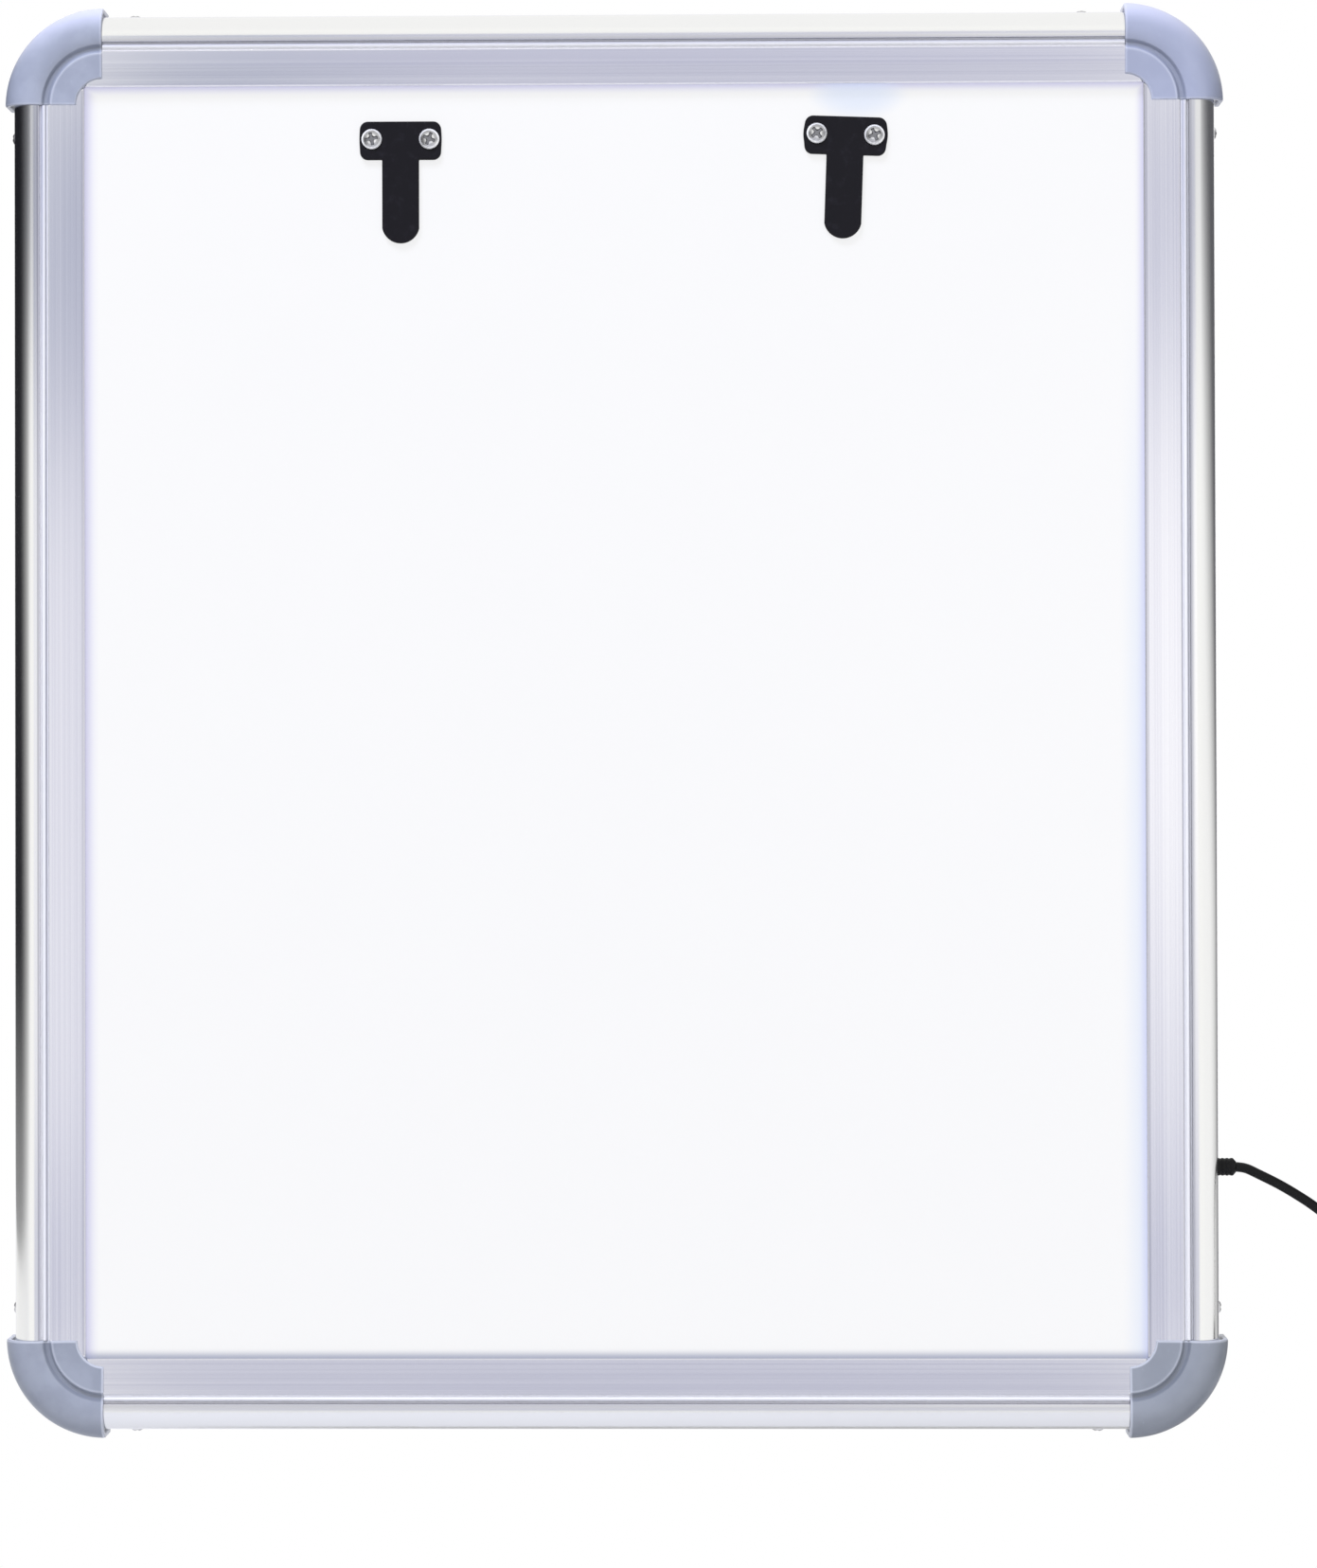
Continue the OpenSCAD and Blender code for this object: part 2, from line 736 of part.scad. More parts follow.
module reflector_sheet() {
    color([0.95, 0.95, 0.97])
        difference() {
            sheet(reflector_v, reflector_t, guide_side_in, slot_in, guide_bottom_in);
            clip_screw_holes(clip_hole_d, reflector_v - overrun, reflector_v + reflector_t + overrun);
        }
}

module back_panel() {
    color([0.88, 0.88, 0.90])
        difference() {
            sheet(panel_v, panel_t, slot_in, slot_in, slot_in);
            clip_screw_holes(clip_pilot_d, panel_v + panel_skin, panel_v + panel_t + overrun);
        }
}

// Light strips stand on edge in the slots of the side rails
module led_board(k) {
    length = opening_h + 2 * (rail_w - board_end_in);
    low_v = panel_v + panel_t + sheet_gap;
    color([0.92, 0.92, 0.88])
        at_side(k)
            translate([-length / 2, -(diffuser_v - sheet_gap), rail_w - chip_in])
                cube([length, diffuser_v - sheet_gap - low_v, board_t]);
}

module led_chips(k) {
    run = opening_h - 2 * corner_in;
    count = floor(run / chip_pitch);
    color([0.98, 0.93, 0.55])
        at_side(k)
            for (i = [0 : count - 1])
                translate([(i - (count - 1) / 2) * chip_pitch - chip_len / 2, -cord_v - chip_w / 2, 0])
                    translate([0, 0, rail_w - chip_in - chip_h])
                        cube([chip_len, chip_w, chip_h]);
}

// Two wires run from the strain relief through the rail's box to the right light strip
module supply_wires() {
    start = rail_outer_x - rail_wall - hole_gap - relief_lip;
    length = board_in - rail_wall - hole_gap - relief_lip;
    color("firebrick")
        for (up = [-1, 1])
            translate([start - length, -cord_v, relief_z + up * wire_pitch / 2])
                rotate([0, 90, 0])
                    cylinder(d = wire_d, h = length);
}

// Two wires in the bottom slot join the light strips
module jumper_wires() {
    length = opening_w + 2 * (rail_w - chip_in);
    color("firebrick")
        for (forward = [-1, 1])
            translate([-length / 2, -cord_v - forward * wire_pitch / 2, frame_bottom + jumper_in])
                rotate([0, 90, 0])
                    cylinder(d = wire_d, h = length);
}

// Film clips: one T of rubber each, whose tongue bends at the lower edge of its bar
module clip_bar(clip) {
    color([0.14, 0.14, 0.16])
        difference() {
            at_clip(clip)
                translate([0, 0, -clip_bar_h / 2])
                    rotate([90, 0, 0])
                        linear_extrude(height = clip_t)
                            rounded_plate(clip_bar_w, clip_bar_h, clip_corner_r);
            at_clip_screws(clip)
                translate([0, 0, -overrun])
                    cylinder(d = clip_pilot_d, h = clip_t + 2 * overrun);
        }
}

module clip_tongue(clip) {
    tip_z = tongue_tip_r - clip_len;
    top_z = -clip_bar_h - split_gap;
    color([0.14, 0.14, 0.16])
        at_clip(clip)
            translate([0, -tongue_gap, 0])
                rotate([90, 0, 0])
                    linear_extrude(height = clip_t - tongue_gap) {
                        translate([-clip_tongue_w / 2, tip_z])
                            square([clip_tongue_w, top_z - tip_z]);
                        intersection() {
                            translate([-clip_tongue_w / 2, -clip_len])
                                square([clip_tongue_w, tongue_tip_r]);
                            translate([0, tip_z])
                                circle(r = tongue_tip_r);
                        }
                    }
}

module clip_screws() {
    color("silver")
        for (clip = clips)
            at_clip_screws(clip)
                translate([0, 0, clip_t])
                    screw(clip_head_d, clip_head_h, clip_shank_d, clip_shank_len);
}

// Cord
module cord_relief() {
    ring_step = (relief_len - relief_cone) / (2 * relief_rings + 1);
    waist_d = relief_d - 2 * relief_ring_deep;
    color([0.10, 0.10, 0.11])
        translate([rail_outer_x, -cord_v, relief_z])
            rotate([0, 90, 0])
                difference() {
                    union() {
                        cylinder(d = relief_d, h = relief_len - relief_cone);
                        translate([0, 0, relief_len - relief_cone])
                            cylinder(d1 = relief_d, d2 = cord_d + relief_ring_deep, h = relief_cone);
                        translate([0, 0, -rail_wall - hole_gap])
                            cylinder(d = relief_neck_d, h = rail_wall + hole_gap + ring_step);
                        translate([0, 0, -rail_wall - hole_gap - relief_lip])
                            cylinder(d = relief_d, h = relief_lip);
                    }
                    for (i = [0 : relief_rings - 1])
                        translate([0, 0, (2 * i + 1) * ring_step])
                            difference() {
                                cylinder(d = relief_d + overrun, h = ring_step);
                                translate([0, 0, -overrun])
                                    cylinder(d = waist_d, h = ring_step + 2 * overrun);
                            }
                }
}

module cord_colour() {
    color([0.08, 0.08, 0.09])
        children();
}

module cord_lead() {
    cord_colour()
        tube([for (p = lead_route) lead_start + p], cord_d / 2, cord_sides);
}

module cord_coil() {
    cord_colour()
        tube(coil_path, cord_d / 2, coil_sides);
}

module cord_tail() {
    cord_colour()
        tube([for (p = tail_route) tail_start + p], cord_d / 2, cord_sides);
}

// The tie goes round the whole bundle where the cord enters and leaves it
module cord_tie() {
    bow = coil_in_r - sqrt(coil_in_r * coil_in_r - tie_w * tie_w / 4);
    inner_w = coil_out_r - coil_in_r + cord_d + bow + 2 * tie_gap;
    inner_d = coil_deep + cord_d + 2 * tie_gap;
    color([0.10, 0.10, 0.11])
        translate([coil_start[0] - cord_d / 2 - tie_gap + inner_w / 2, coil_start[1] - coil_deep / 2, coil_z])
            linear_extrude(height = tie_w, center = true)
                difference() {
                    rounded_plate(inner_w + 2 * tie_t, inner_d + 2 * tie_t, tie_t + tie_gap);
                    rounded_plate(inner_w, inner_d, tie_gap);
                }
}

// Mains adaptor, hanging from the cord's tail
module at_case() {
    translate([adaptor_top[0], adaptor_top[1], case_low_z])
        children();
}

// The outline of the adaptor, drawn in by a given distance
module adaptor_outline(drawn_in) {
    rounded_plate(adaptor_w - 2 * drawn_in, adaptor_d - 2 * drawn_in, adaptor_r - drawn_in / 2);
}

module adaptor_case() {
    color([0.13, 0.13, 0.14])
        at_case()
            difference() {
                union() {
                    linear_extrude(height = adaptor_h - adaptor_step)
                        adaptor_outline(0);
                    translate([0, 0, adaptor_h / 2])
                        linear_extrude(height = adaptor_h / 2)
                            adaptor_outline(adaptor_step);
                }
                translate([0, 0, -overrun])
                    linear_extrude(height = adaptor_h - adaptor_step - adaptor_wall + overrun)
                        adaptor_outline(adaptor_wall);
                cylinder(d = taper_neck_d + 2 * hole_gap, h = adaptor_h + overrun);
            }
}

module adaptor_cover() {
    color([0.16, 0.16, 0.17])
        at_case()
            difference() {
                union() {
                    translate([0, 0, -cover_t])
                        linear_extrude(height = cover_t)
                            adaptor_outline(0);
                    linear_extrude(height = cover_rim_h)
                        difference() {
                            adaptor_outline(adaptor_wall + rim_gap);
                            adaptor_outline(adaptor_wall + rim_gap + cover_rim_t);
                        }
                }
                for (x = [-1, 1])
                    translate([x * pin_pitch / 2, 0, -cover_t - overrun])
                        cylinder(d = pin_stub_d + 2 * hole_gap, h = cover_t + 2 * overrun);
            }
}

module adaptor_pins() {
    color([0.82, 0.80, 0.74])
        at_case()
            for (x = [-1, 1])
                translate([x * pin_pitch / 2, 0, -cover_t - pin_len]) {
                    translate([0, 0, pin_d / 2])
                        cylinder(d = pin_d, h = pin_len - pin_d / 2);
                    translate([0, 0, pin_d / 2])
                        sphere(d = pin_d);
                    translate([0, 0, pin_len - pin_d / 2])
                        cylinder(d = pin_stub_d, h = pin_d / 2 + cover_t + pin_tail);
                }
}

// The circuit board stands on the cover behind the pins, and carries its parts on its front
module adaptor_circuit() {
    color("seagreen")
        at_case()
            translate([-circuit_w / 2, circuit_y, 0])
                cube([circuit_w, circuit_t, circuit_h]);
}

module adaptor_transformer() {
    color("gold")
        at_case()
            translate([
                -transformer_w / 2, circuit_y - transformer_d, circuit_h - transformer_h - circuit_margin
            ])
                cube([transformer_w, transformer_d, transformer_h]);
}

module adaptor_capacitor() {
    color("slategray")
        at_case()
            translate([0, circuit_y - capacitor_d / 2, capacitor_up])
                cylinder(d = capacitor_d, h = capacitor_len);
}

module adaptor_relief() {
    ring_step = taper_len / (2 * taper_rings + 1);
    color([0.10, 0.10, 0.11])
        translate([adaptor_top[0], adaptor_top[1], case_top_z]) {
            difference() {
                cylinder(d1 = taper_d, d2 = taper_end_d, h = taper_len);
                for (i = [0 : taper_rings - 1])
                    translate([0, 0, (2 * i + 1) * ring_step])
                        difference() {
                            cylinder(d = taper_d + overrun, h = ring_step);
                            cylinder(
                                d1 = taper_at((2 * i + 1) * ring_step) - 2 * taper_ring_deep,
                                d2 = taper_at((2 * i + 2) * ring_step) - 2 * taper_ring_deep,
                                h = ring_step
                            );
                        }
            }
            translate([0, 0, -adaptor_step - adaptor_wall - hole_gap])
                cylinder(d = taper_neck_d, h = adaptor_step + adaptor_wall + hole_gap + ring_step);
            translate([0, 0, -adaptor_step - adaptor_wall - hole_gap - taper_lip])
                cylinder(d = taper_neck_d + 2 * taper_lip, h = taper_lip);
        }
}

top_rail();
right_rail();
bottom_rail();
left_rail();
corner_piece(0);  // top_right_corner
corner_piece(1);  // bottom_right_corner
corner_piece(2);  // bottom_left_corner
corner_piece(3);  // top_left_corner
corner_screws();
diffuser_screen();
light_guide();
reflector_sheet();
back_panel();
led_board(1);  // right_led_board
led_board(3);  // left_led_board
led_chips(1);  // right_led_chips
led_chips(3);  // left_led_chips
supply_wires();
jumper_wires();
clip_bar(clips[0]);  // left_clip_bar
clip_tongue(clips[0]);  // left_clip_tongue
clip_bar(clips[1]);  // right_clip_bar
clip_tongue(clips[1]);  // right_clip_tongue
clip_screws();
cord_relief();
cord_lead();
cord_coil();
cord_tail();
cord_tie();
adaptor_case();
adaptor_cover();
adaptor_pins();
adaptor_circuit();
adaptor_transformer();
adaptor_capacitor();
adaptor_relief();
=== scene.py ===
import math
import bmesh
import bpy
import numpy as np
from mathutils import Matrix, Vector
from mathutils.geometry import tessellate_polygon


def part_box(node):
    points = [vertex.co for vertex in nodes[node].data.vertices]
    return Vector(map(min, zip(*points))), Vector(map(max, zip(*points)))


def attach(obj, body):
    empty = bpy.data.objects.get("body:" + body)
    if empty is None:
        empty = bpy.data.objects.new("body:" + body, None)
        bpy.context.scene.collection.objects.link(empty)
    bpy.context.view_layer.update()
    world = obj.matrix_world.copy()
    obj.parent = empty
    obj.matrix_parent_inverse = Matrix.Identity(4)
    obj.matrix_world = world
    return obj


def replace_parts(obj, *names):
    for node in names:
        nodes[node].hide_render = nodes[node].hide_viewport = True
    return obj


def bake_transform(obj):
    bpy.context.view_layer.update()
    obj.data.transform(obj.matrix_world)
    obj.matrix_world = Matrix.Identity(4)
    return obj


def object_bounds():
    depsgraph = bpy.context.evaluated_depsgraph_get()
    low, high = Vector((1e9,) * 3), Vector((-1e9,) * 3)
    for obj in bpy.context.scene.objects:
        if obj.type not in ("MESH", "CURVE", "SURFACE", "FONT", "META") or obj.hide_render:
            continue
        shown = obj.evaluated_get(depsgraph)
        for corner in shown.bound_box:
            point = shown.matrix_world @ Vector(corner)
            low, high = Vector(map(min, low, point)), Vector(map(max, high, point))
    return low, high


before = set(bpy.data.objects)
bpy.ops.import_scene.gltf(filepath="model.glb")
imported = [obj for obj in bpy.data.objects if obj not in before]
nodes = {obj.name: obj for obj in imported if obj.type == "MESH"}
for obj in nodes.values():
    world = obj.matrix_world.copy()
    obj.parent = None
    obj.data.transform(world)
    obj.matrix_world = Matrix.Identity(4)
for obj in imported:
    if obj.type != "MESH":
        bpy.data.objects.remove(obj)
cadBox = [list(corner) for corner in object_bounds()]
mm = 0.001
print("frame loaded")

# Places that the frame gives: the rails' outer faces and the middle of the screen opening
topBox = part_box("top_rail")
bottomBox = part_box("bottom_rail")
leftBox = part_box("left_rail")
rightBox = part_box("right_rail")
railWidth = (topBox[1].z - topBox[0].z) / mm
railDepth = (topBox[1].y - topBox[0].y) / mm
openingWidth = (rightBox[1].x - leftBox[0].x) / mm - 2 * railWidth
openingHeight = (topBox[1].z - bottomBox[0].z) / mm - 2 * railWidth
openingMid = (topBox[1].z + bottomBox[0].z) / 2 / mm
screenFront = -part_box("diffuser_screen")[0].y / mm

# The camera stands where the photograph was taken from, and its frame is the photograph's
camera = {
    "imageWidth": 1391,
    "imageHeight": 1656,
    "lens": 121.56,
    "sensor": 36.0,
    "eye": (33.2, -1808.1, -245.8),
    "yaw": -0.02038,
    "pitch": 0.01303,
    "roll": -0.00249,
    "shift": (0.03443, -0.05455),
}


def addObject(name, data):
    made = bpy.data.objects.new(name, data)
    bpy.context.scene.collection.objects.link(made)
    return made


def makeCamera():
    data = bpy.data.cameras.new("camera")
    data.sensor_fit = "AUTO"
    data.sensor_width = camera["sensor"]
    data.lens = camera["lens"]
    data.shift_x, data.shift_y = camera["shift"]
    data.clip_start, data.clip_end = 0.05, 50
    made = addObject("camera", data)
    yaw, pitch, roll = camera["yaw"], camera["pitch"], camera["roll"]
    forward = Vector((math.sin(yaw) * math.cos(pitch), math.cos(yaw) * math.cos(pitch), math.sin(pitch)))
    level = Vector((math.cos(yaw), -math.sin(yaw), 0))
    rise = level.cross(forward)
    right = level * math.cos(roll) + rise * math.sin(roll)
    up = right.cross(forward)
    turn = Matrix((right, up, -forward)).transposed()
    made.matrix_world = Matrix.Translation(Vector(camera["eye"]) * mm) @ turn.to_4x4()
    bpy.context.scene.camera = made


makeCamera()
print("camera placed")


# Shader maths reads as Python: a Signal wraps one output socket
class Signal:
    def __init__(self, tree, socket):
        self.tree = tree
        self.socket = socket

    def calc(self, operation, *others, clamp=False):
        settings = {"operation": operation, "use_clamp": clamp}
        made = addNode(self.tree, "ShaderNodeMath", settings, dict(enumerate((self, *others))))
        return Signal(self.tree, made.outputs[0])

    def __add__(self, other):
        return self.calc("ADD", other)

    def __radd__(self, other):
        return self.calc("ADD", other)

    def __mul__(self, other):
        return self.calc("MULTIPLY", other)

    def __rmul__(self, other):
        return self.calc("MULTIPLY", other)

    def __sub__(self, other):
        return self.calc("SUBTRACT", other)

    def __rsub__(self, other):
        return (self * -1).calc("ADD", other)

    def __truediv__(self, other):
        return self.calc("DIVIDE", other)

    def __pow__(self, other):
        return self.calc("POWER", other)

    def __abs__(self):
        return self.calc("ABSOLUTE")

    def atLeast(self, other):
        return self.calc("MAXIMUM", other)

    def atMost(self, other):
        return self.calc("MINIMUM", other)

    # 0 below low, 1 above high and a smooth step between them; high may be the smaller one
    def step(self, low, high):
        below, above = (1.0, 0.0) if low > high else (0.0, 1.0)
        made = addNode(
            self.tree, "ShaderNodeMapRange", {"interpolation_type": "SMOOTHSTEP"},
            {0: self, 1: min(low, high), 2: max(low, high), 3: below, 4: above},
        )
        return Signal(self.tree, made.outputs[0])

    # 1 between low and high, with soft edges
    def band(self, low, high, soft):
        return self.step(low - soft, low + soft) * self.step(high + soft, high - soft)

    # The sum of stripes, each (from, to, softness, strength)
    def stripes(self, bands):
        total = 0
        for low, high, soft, strength in bands:
            total = self.band(low, high, soft) * strength + total
        return total


# A socket takes a link from a Signal, or a value. A colour of three numbers gets its fourth
def plug(tree, socket, value):
    if isinstance(value, Signal):
        tree.links.new(value.socket, socket)
        return
    if hasattr(value, "__len__") and len(value) == 3 and len(socket.default_value) == 4:
        value = (*value, 1.0)
    socket.default_value = value


# Any node: its type, its settings, which are set first, and the values or links of its sockets
def addNode(tree, kind, settings, sockets):
    made = tree.nodes.new(kind)
    for key, value in settings.items():
        setattr(made, key, value)
    for key, value in sockets.items():
        plug(tree, made.inputs[key], value)
    return made


# A finish is one material. It reads Object coordinates in millimetres
class Finish:
    def __init__(self, name, shader="ShaderNodeBsdfPrincipled"):
        self.material = bpy.data.materials.new(name)
        self.material.use_nodes = True
        self.tree = self.material.node_tree
        self.tree.nodes.clear()
        self.shader = addNode(self.tree, shader, {}, {})
        surface = Signal(self.tree, self.shader.outputs[0])
        addNode(self.tree, "ShaderNodeOutputMaterial", {}, {0: surface})
        metres = self.node("ShaderNodeTexCoord", {}, {}, "Object")
        self.place = self.node("ShaderNodeVectorMath", {"operation": "SCALE"}, {0: metres, "Scale": 1 / mm})

    def node(self, kind, settings, sockets, out=0):
        return Signal(self.tree, addNode(self.tree, kind, settings, sockets).outputs[out])

    def axes(self, vector=None):
        parts = addNode(self.tree, "ShaderNodeSeparateXYZ", {}, {0: vector or self.place})
        return [Signal(self.tree, out) for out in parts.outputs]

    # Noise from 0 to 1; size is in millimetres along x, y and z
    def noise(self, size, detail=3.0, roughness=0.55, shift=(0, 0, 0)):
        scale = [1 / s for s in (size if hasattr(size, "__len__") else (size,) * 3)]
        mapped = self.node("ShaderNodeMapping", {}, {"Vector": self.place, "Scale": scale, "Location": shift})
        sockets = {"Vector": mapped, "Scale": 1.0, "Detail": detail, "Roughness": roughness}
        return self.node("ShaderNodeTexNoise", {}, sockets)

    def blend(self, share, first, second):
        return self.node("ShaderNodeMix", {"data_type": "RGBA"}, {0: share, 6: first, 7: second}, 2)

    # Bump of a height from 0 to 1 over a distance in millimetres
    def bump(self, height, distance):
        return self.node("ShaderNodeBump", {}, {"Height": height, "Distance": distance * mm, "Strength": 1.0})

    def set(self, **sockets):
        for key, value in sockets.items():
            plug(self.tree, self.shader.inputs[key.replace("_", " ")], value)
        return self.material


# A colour as it looks on a screen, from 0 to 255, made linear
def tone(red, green, blue):
    shares = np.array((red, green, blue)) / 255
    linear = np.where(shares > 0.04045, ((shares + 0.055) / 1.055) ** 2.4, shares / 12.92)
    return tuple(float(share) for share in linear)


# Extruded aluminium: fine die lines run along each rail, under a satin anodised surface. Painted shade
# darkens the grooves and parts of the flats, and a painted highlight brightens the ridge's crest. Their
# stripes are (from, to, softness, strength), counted in from the rail's outer face
railLook = {
    "colour": tone(241, 241, 244),
    "shade": tone(222, 222, 230),
    "speck": tone(150, 152, 168),
    # lit colours and darker painted-shade copies of the beads and crests, and the tone of the grooves'
    # painted shade
    "bead": tone(242, 242, 241),
    "beadDim": tone(158, 160, 172),
    "paintedShade": tone(104, 108, 124),
    "ridgeHighlight": tone(227, 227, 229),
    "ridgeHighlightDim": tone(188, 190, 202),
    "roughness": 0.20,
    "lineDeep": 0.006,
    "lineWide": 0.42,
    "lineLong": 700.0,
    "broadTimes": 4.5,
    "broadShift": (7.3, 2.1, 4.4),
    "cloudWide": 14.0,
    "cloudLong": 190.0,
    "speckSize": 0.35,
    "speckShare": 0.12,
    "frontFace": (-17.0, -18.0),
    "beadEnd": (9.0, 8.4),
    "ridge": (9.3, 12.05, 0.2),
    "paintedShadeStripes": {
        "top": [(8.0, 10.5, 0.6, 0.38), (9.9, 10.6, 0.15, 0.2), (17.5, 24.6, 0.8, 0.07)],
        "right": [(8.3, 10.1, 0.5, 0.36), (11.65, 12.1, 0.12, 0.5), (23.1, 24.6, 0.3, 0.28)],
        "bottom": [
            (7.8, 10.2, 0.5, 0.22), (10.15, 10.65, 0.15, 0.3), (12.0, 12.4, 0.15, 0.3),
            (12.4, 24.6, 0.5, 0.12),
        ],
        "left": [(8.3, 8.9, 0.2, 0.40), (10.9, 11.7, 0.2, 0.5), (23.2, 24.6, 0.3, 0.2)],
    },
    "ridgeHighlightStripes": {
        "top": [(10.75, 11.6, 0.15, 1.0)],
        "right": [(10.4, 11.45, 0.15, 1.0)],
        "bottom": [(10.9, 11.7, 0.15, 0.3)],
        "left": [(9.3, 10.65, 0.2, 1.0)],
    },
    # painted shade: how much the beads and crests darken on the bottom rail and towards the top of the side
    # rails
    "bottomDim": 0.2,
    "rightDim": 0.27,
    "leftDim": 0.62,
    "dimHeights": (-30, -150),
}


def railFinish(name, along):
    look = railLook
    finish = Finish(name)
    wide, long = look["lineWide"], look["lineLong"]
    lineSize = (long, wide, wide) if along == "x" else (wide, wide, long)
    wide, long = look["cloudWide"], look["cloudLong"]
    cloudSize = (long, wide, wide) if along == "x" else (wide, wide, long)
    lines = finish.noise(lineSize, 2.0, 0.6)
    broad = finish.noise([look["broadTimes"] * size for size in lineSize], 2.0, 0.5, look["broadShift"])
    clouds = finish.noise(cloudSize, 2.0, 0.5)
    specks = finish.noise(look["speckSize"], 2.0, 0.6).step(0.70, 0.78)
    share = (lines * 1.3 + broad * 1.1 + clouds * 0.5 - 0.95).calc("MULTIPLY", 1.0, clamp=True)
    colour = finish.blend(share, look["shade"], look["colour"])
    colour = finish.blend(specks * look["speckShare"], colour, look["speck"])
    # u runs in from the rail's outer face, and one finish serves two rails: first is 1 on one of them
    x, y, z = finish.axes()
    front = y.step(*look["frontFace"])
    if along == "x":
        sides = ("top", "bottom")
        u = railWidth + openingHeight / 2 - abs(z - openingMid)
        first = (z - openingMid).step(-1, 1)
        light = 1.0
        dim = (1 - first) * look["bottomDim"]
    else:
        sides = ("right", "left")
        u = railWidth + openingWidth / 2 - abs(x)
        first = x.step(-1, 1)
        light = z.step(*look["dimHeights"])
        dim = (1 - light) * (look["leftDim"] - first * (look["leftDim"] - look["rightDim"]))
    paintedShade = first * u.stripes(look["paintedShadeStripes"][sides[0]])
    paintedShade = (paintedShade + (1 - first) * u.stripes(look["paintedShadeStripes"][sides[1]])) * front
    ridgeHighlight = first * u.stripes(look["ridgeHighlightStripes"][sides[0]])
    ridgeHighlight = (ridgeHighlight + (1 - first) * u.stripes(look["ridgeHighlightStripes"][sides[1]])) * front
    bead = u.step(*look["beadEnd"]) * front
    ridge = u.band(*look["ridge"]) * front
    # painted shade: the beads darker on the bottom rail and towards the top of the side rails
    colour = finish.blend(bead, colour, finish.blend(dim, look["bead"], look["beadDim"]))
    # painted shade in the grooves and on parts of the flats
    colour = finish.blend(paintedShade, colour, look["paintedShade"])
    # painted highlight on the ridge's crest, painted dimmer towards the top of the side rails
    colour = finish.blend(ridgeHighlight, colour, finish.blend(light, look["ridgeHighlightDim"], look["ridgeHighlight"]))
    rough = lines * 0.10 + clouds * 0.10 + ridge * 0.2 + look["roughness"] - 0.10
    return finish.set(
        Base_Color=colour, Metallic=1 - ridge * 0.85, Roughness=rough,
        Normal=finish.bump(lines + broad * 0.8, look["lineDeep"]),
    )


# How far inside the opening the middle of a corner's curve lies
cornerIn = 6.2
# Moulded grey-blue plastic with a fine grain and slightly worn, paler high spots
cornerLook = {
    "colour": tone(148, 154, 168),
    "dark": tone(139, 145, 159),
    "upper": tone(154, 160, 186),
    "shaded": tone(128, 133, 139),
    "sky": tone(212, 214, 236),
    "pale": tone(170, 176, 192),
    "edgeHighlight": tone(205, 209, 220),
    # the dark tone of the painted shade at the lower domes' foot and in the groove
    "dust": tone(92, 98, 112),
    "roughness": 0.36,
    "cloudSize": 9.0,
    "grainSize": 0.45,
    "grainDeep": 0.010,
    "scuffSize": (1.2, 1.2, 5.0),
    "upperFrom": (-240, -220),
    "rightFrom": (-20, 20),
    "domeReach": 33.6,
    "domeSky": (25.0, 33.0),
    "domeFootShade": 28.5,
    "grooveShade": (18.15, 20.45, 0.45),
    "grooveEdge": ((16.6, 17.3), (17.9, 17.4)),
    "endEdge": (0.95, 0.45),
    "notchEdge": (9.7, 9.2),
}


def cornerFinish():
    look = cornerLook
    finish = Finish("corner_plastic")
    cloud = finish.noise(look["cloudSize"], 3.0, 0.5)
    grain = finish.noise(look["grainSize"], 3.0, 0.6)
    scuff = finish.noise(look["scuffSize"], 4.0, 0.7).step(0.62, 0.74)
    colour = finish.blend(cloud.step(0.35, 0.65), look["dark"], look["colour"])
    # painted light and shade: the upper corners are painted a little bluer and the lower right one a little
    # darker
    x, _, z = finish.axes()
    upper = z.step(*look["upperFrom"])
    lower = 1 - upper
    right = x.step(*look["rightFrom"])
    colour = finish.blend(upper * (right * 0.45 + 0.15), colour, look["upper"])
    colour = finish.blend(lower * right * 0.5, colour, look["shaded"])
    colour = finish.blend(scuff * 0.22, colour, look["pale"])
    # out is the distance from the middle of the corner's curve. The domes get a painted highlight towards the
    # top of the object and painted shade towards its foot
    endX = abs(x) - (openingWidth / 2 - cornerIn)
    endZ = abs(z - openingMid) - (openingHeight / 2 - cornerIn)
    out = (endX * endX + endZ * endZ) ** 0.5
    reach = look["domeReach"]
    rise = (endZ / reach).step(0.35, 1.0)
    # painted highlight on the upper domes
    colour = finish.blend(out.step(*look["domeSky"]) * upper * rise * 0.6, colour, look["sky"])
    # painted shade at the lower domes' foot
    footShade = out.step(look["domeFootShade"], reach) * lower * (rise * 0.4 + 0.15)
    colour = finish.blend(footShade, colour, look["dust"])
    # painted shade darkens the groove, and painted highlights brighten the groove's inner edge and the two
    # end edges
    inner, outer = look["grooveEdge"]
    colour = finish.blend(out.band(*look["grooveShade"]) * 0.42, colour, look["dust"])
    # painted highlight on the groove's inner edge
    colour = finish.blend(out.step(*inner) * out.step(*outer) * 0.3, colour, look["edgeHighlight"])
    # painted highlight on the end edges and the notch's edge, stronger on the lower corners
    ends = endX.step(*look["endEdge"]).atLeast(endZ.step(*look["endEdge"]))
    ends = ends.atLeast(out.step(*look["notchEdge"]))
    colour = finish.blend(ends * (lower * 0.35 + 0.25), colour, look["edgeHighlight"])
    return finish.set(
        Base_Color=colour, Roughness=cloud * 0.12 + scuff * 0.10 + look["roughness"] - 0.06,
        Normal=finish.bump(grain, look["grainDeep"]), Coat_Weight=0.12, Coat_Roughness=0.25,
    )


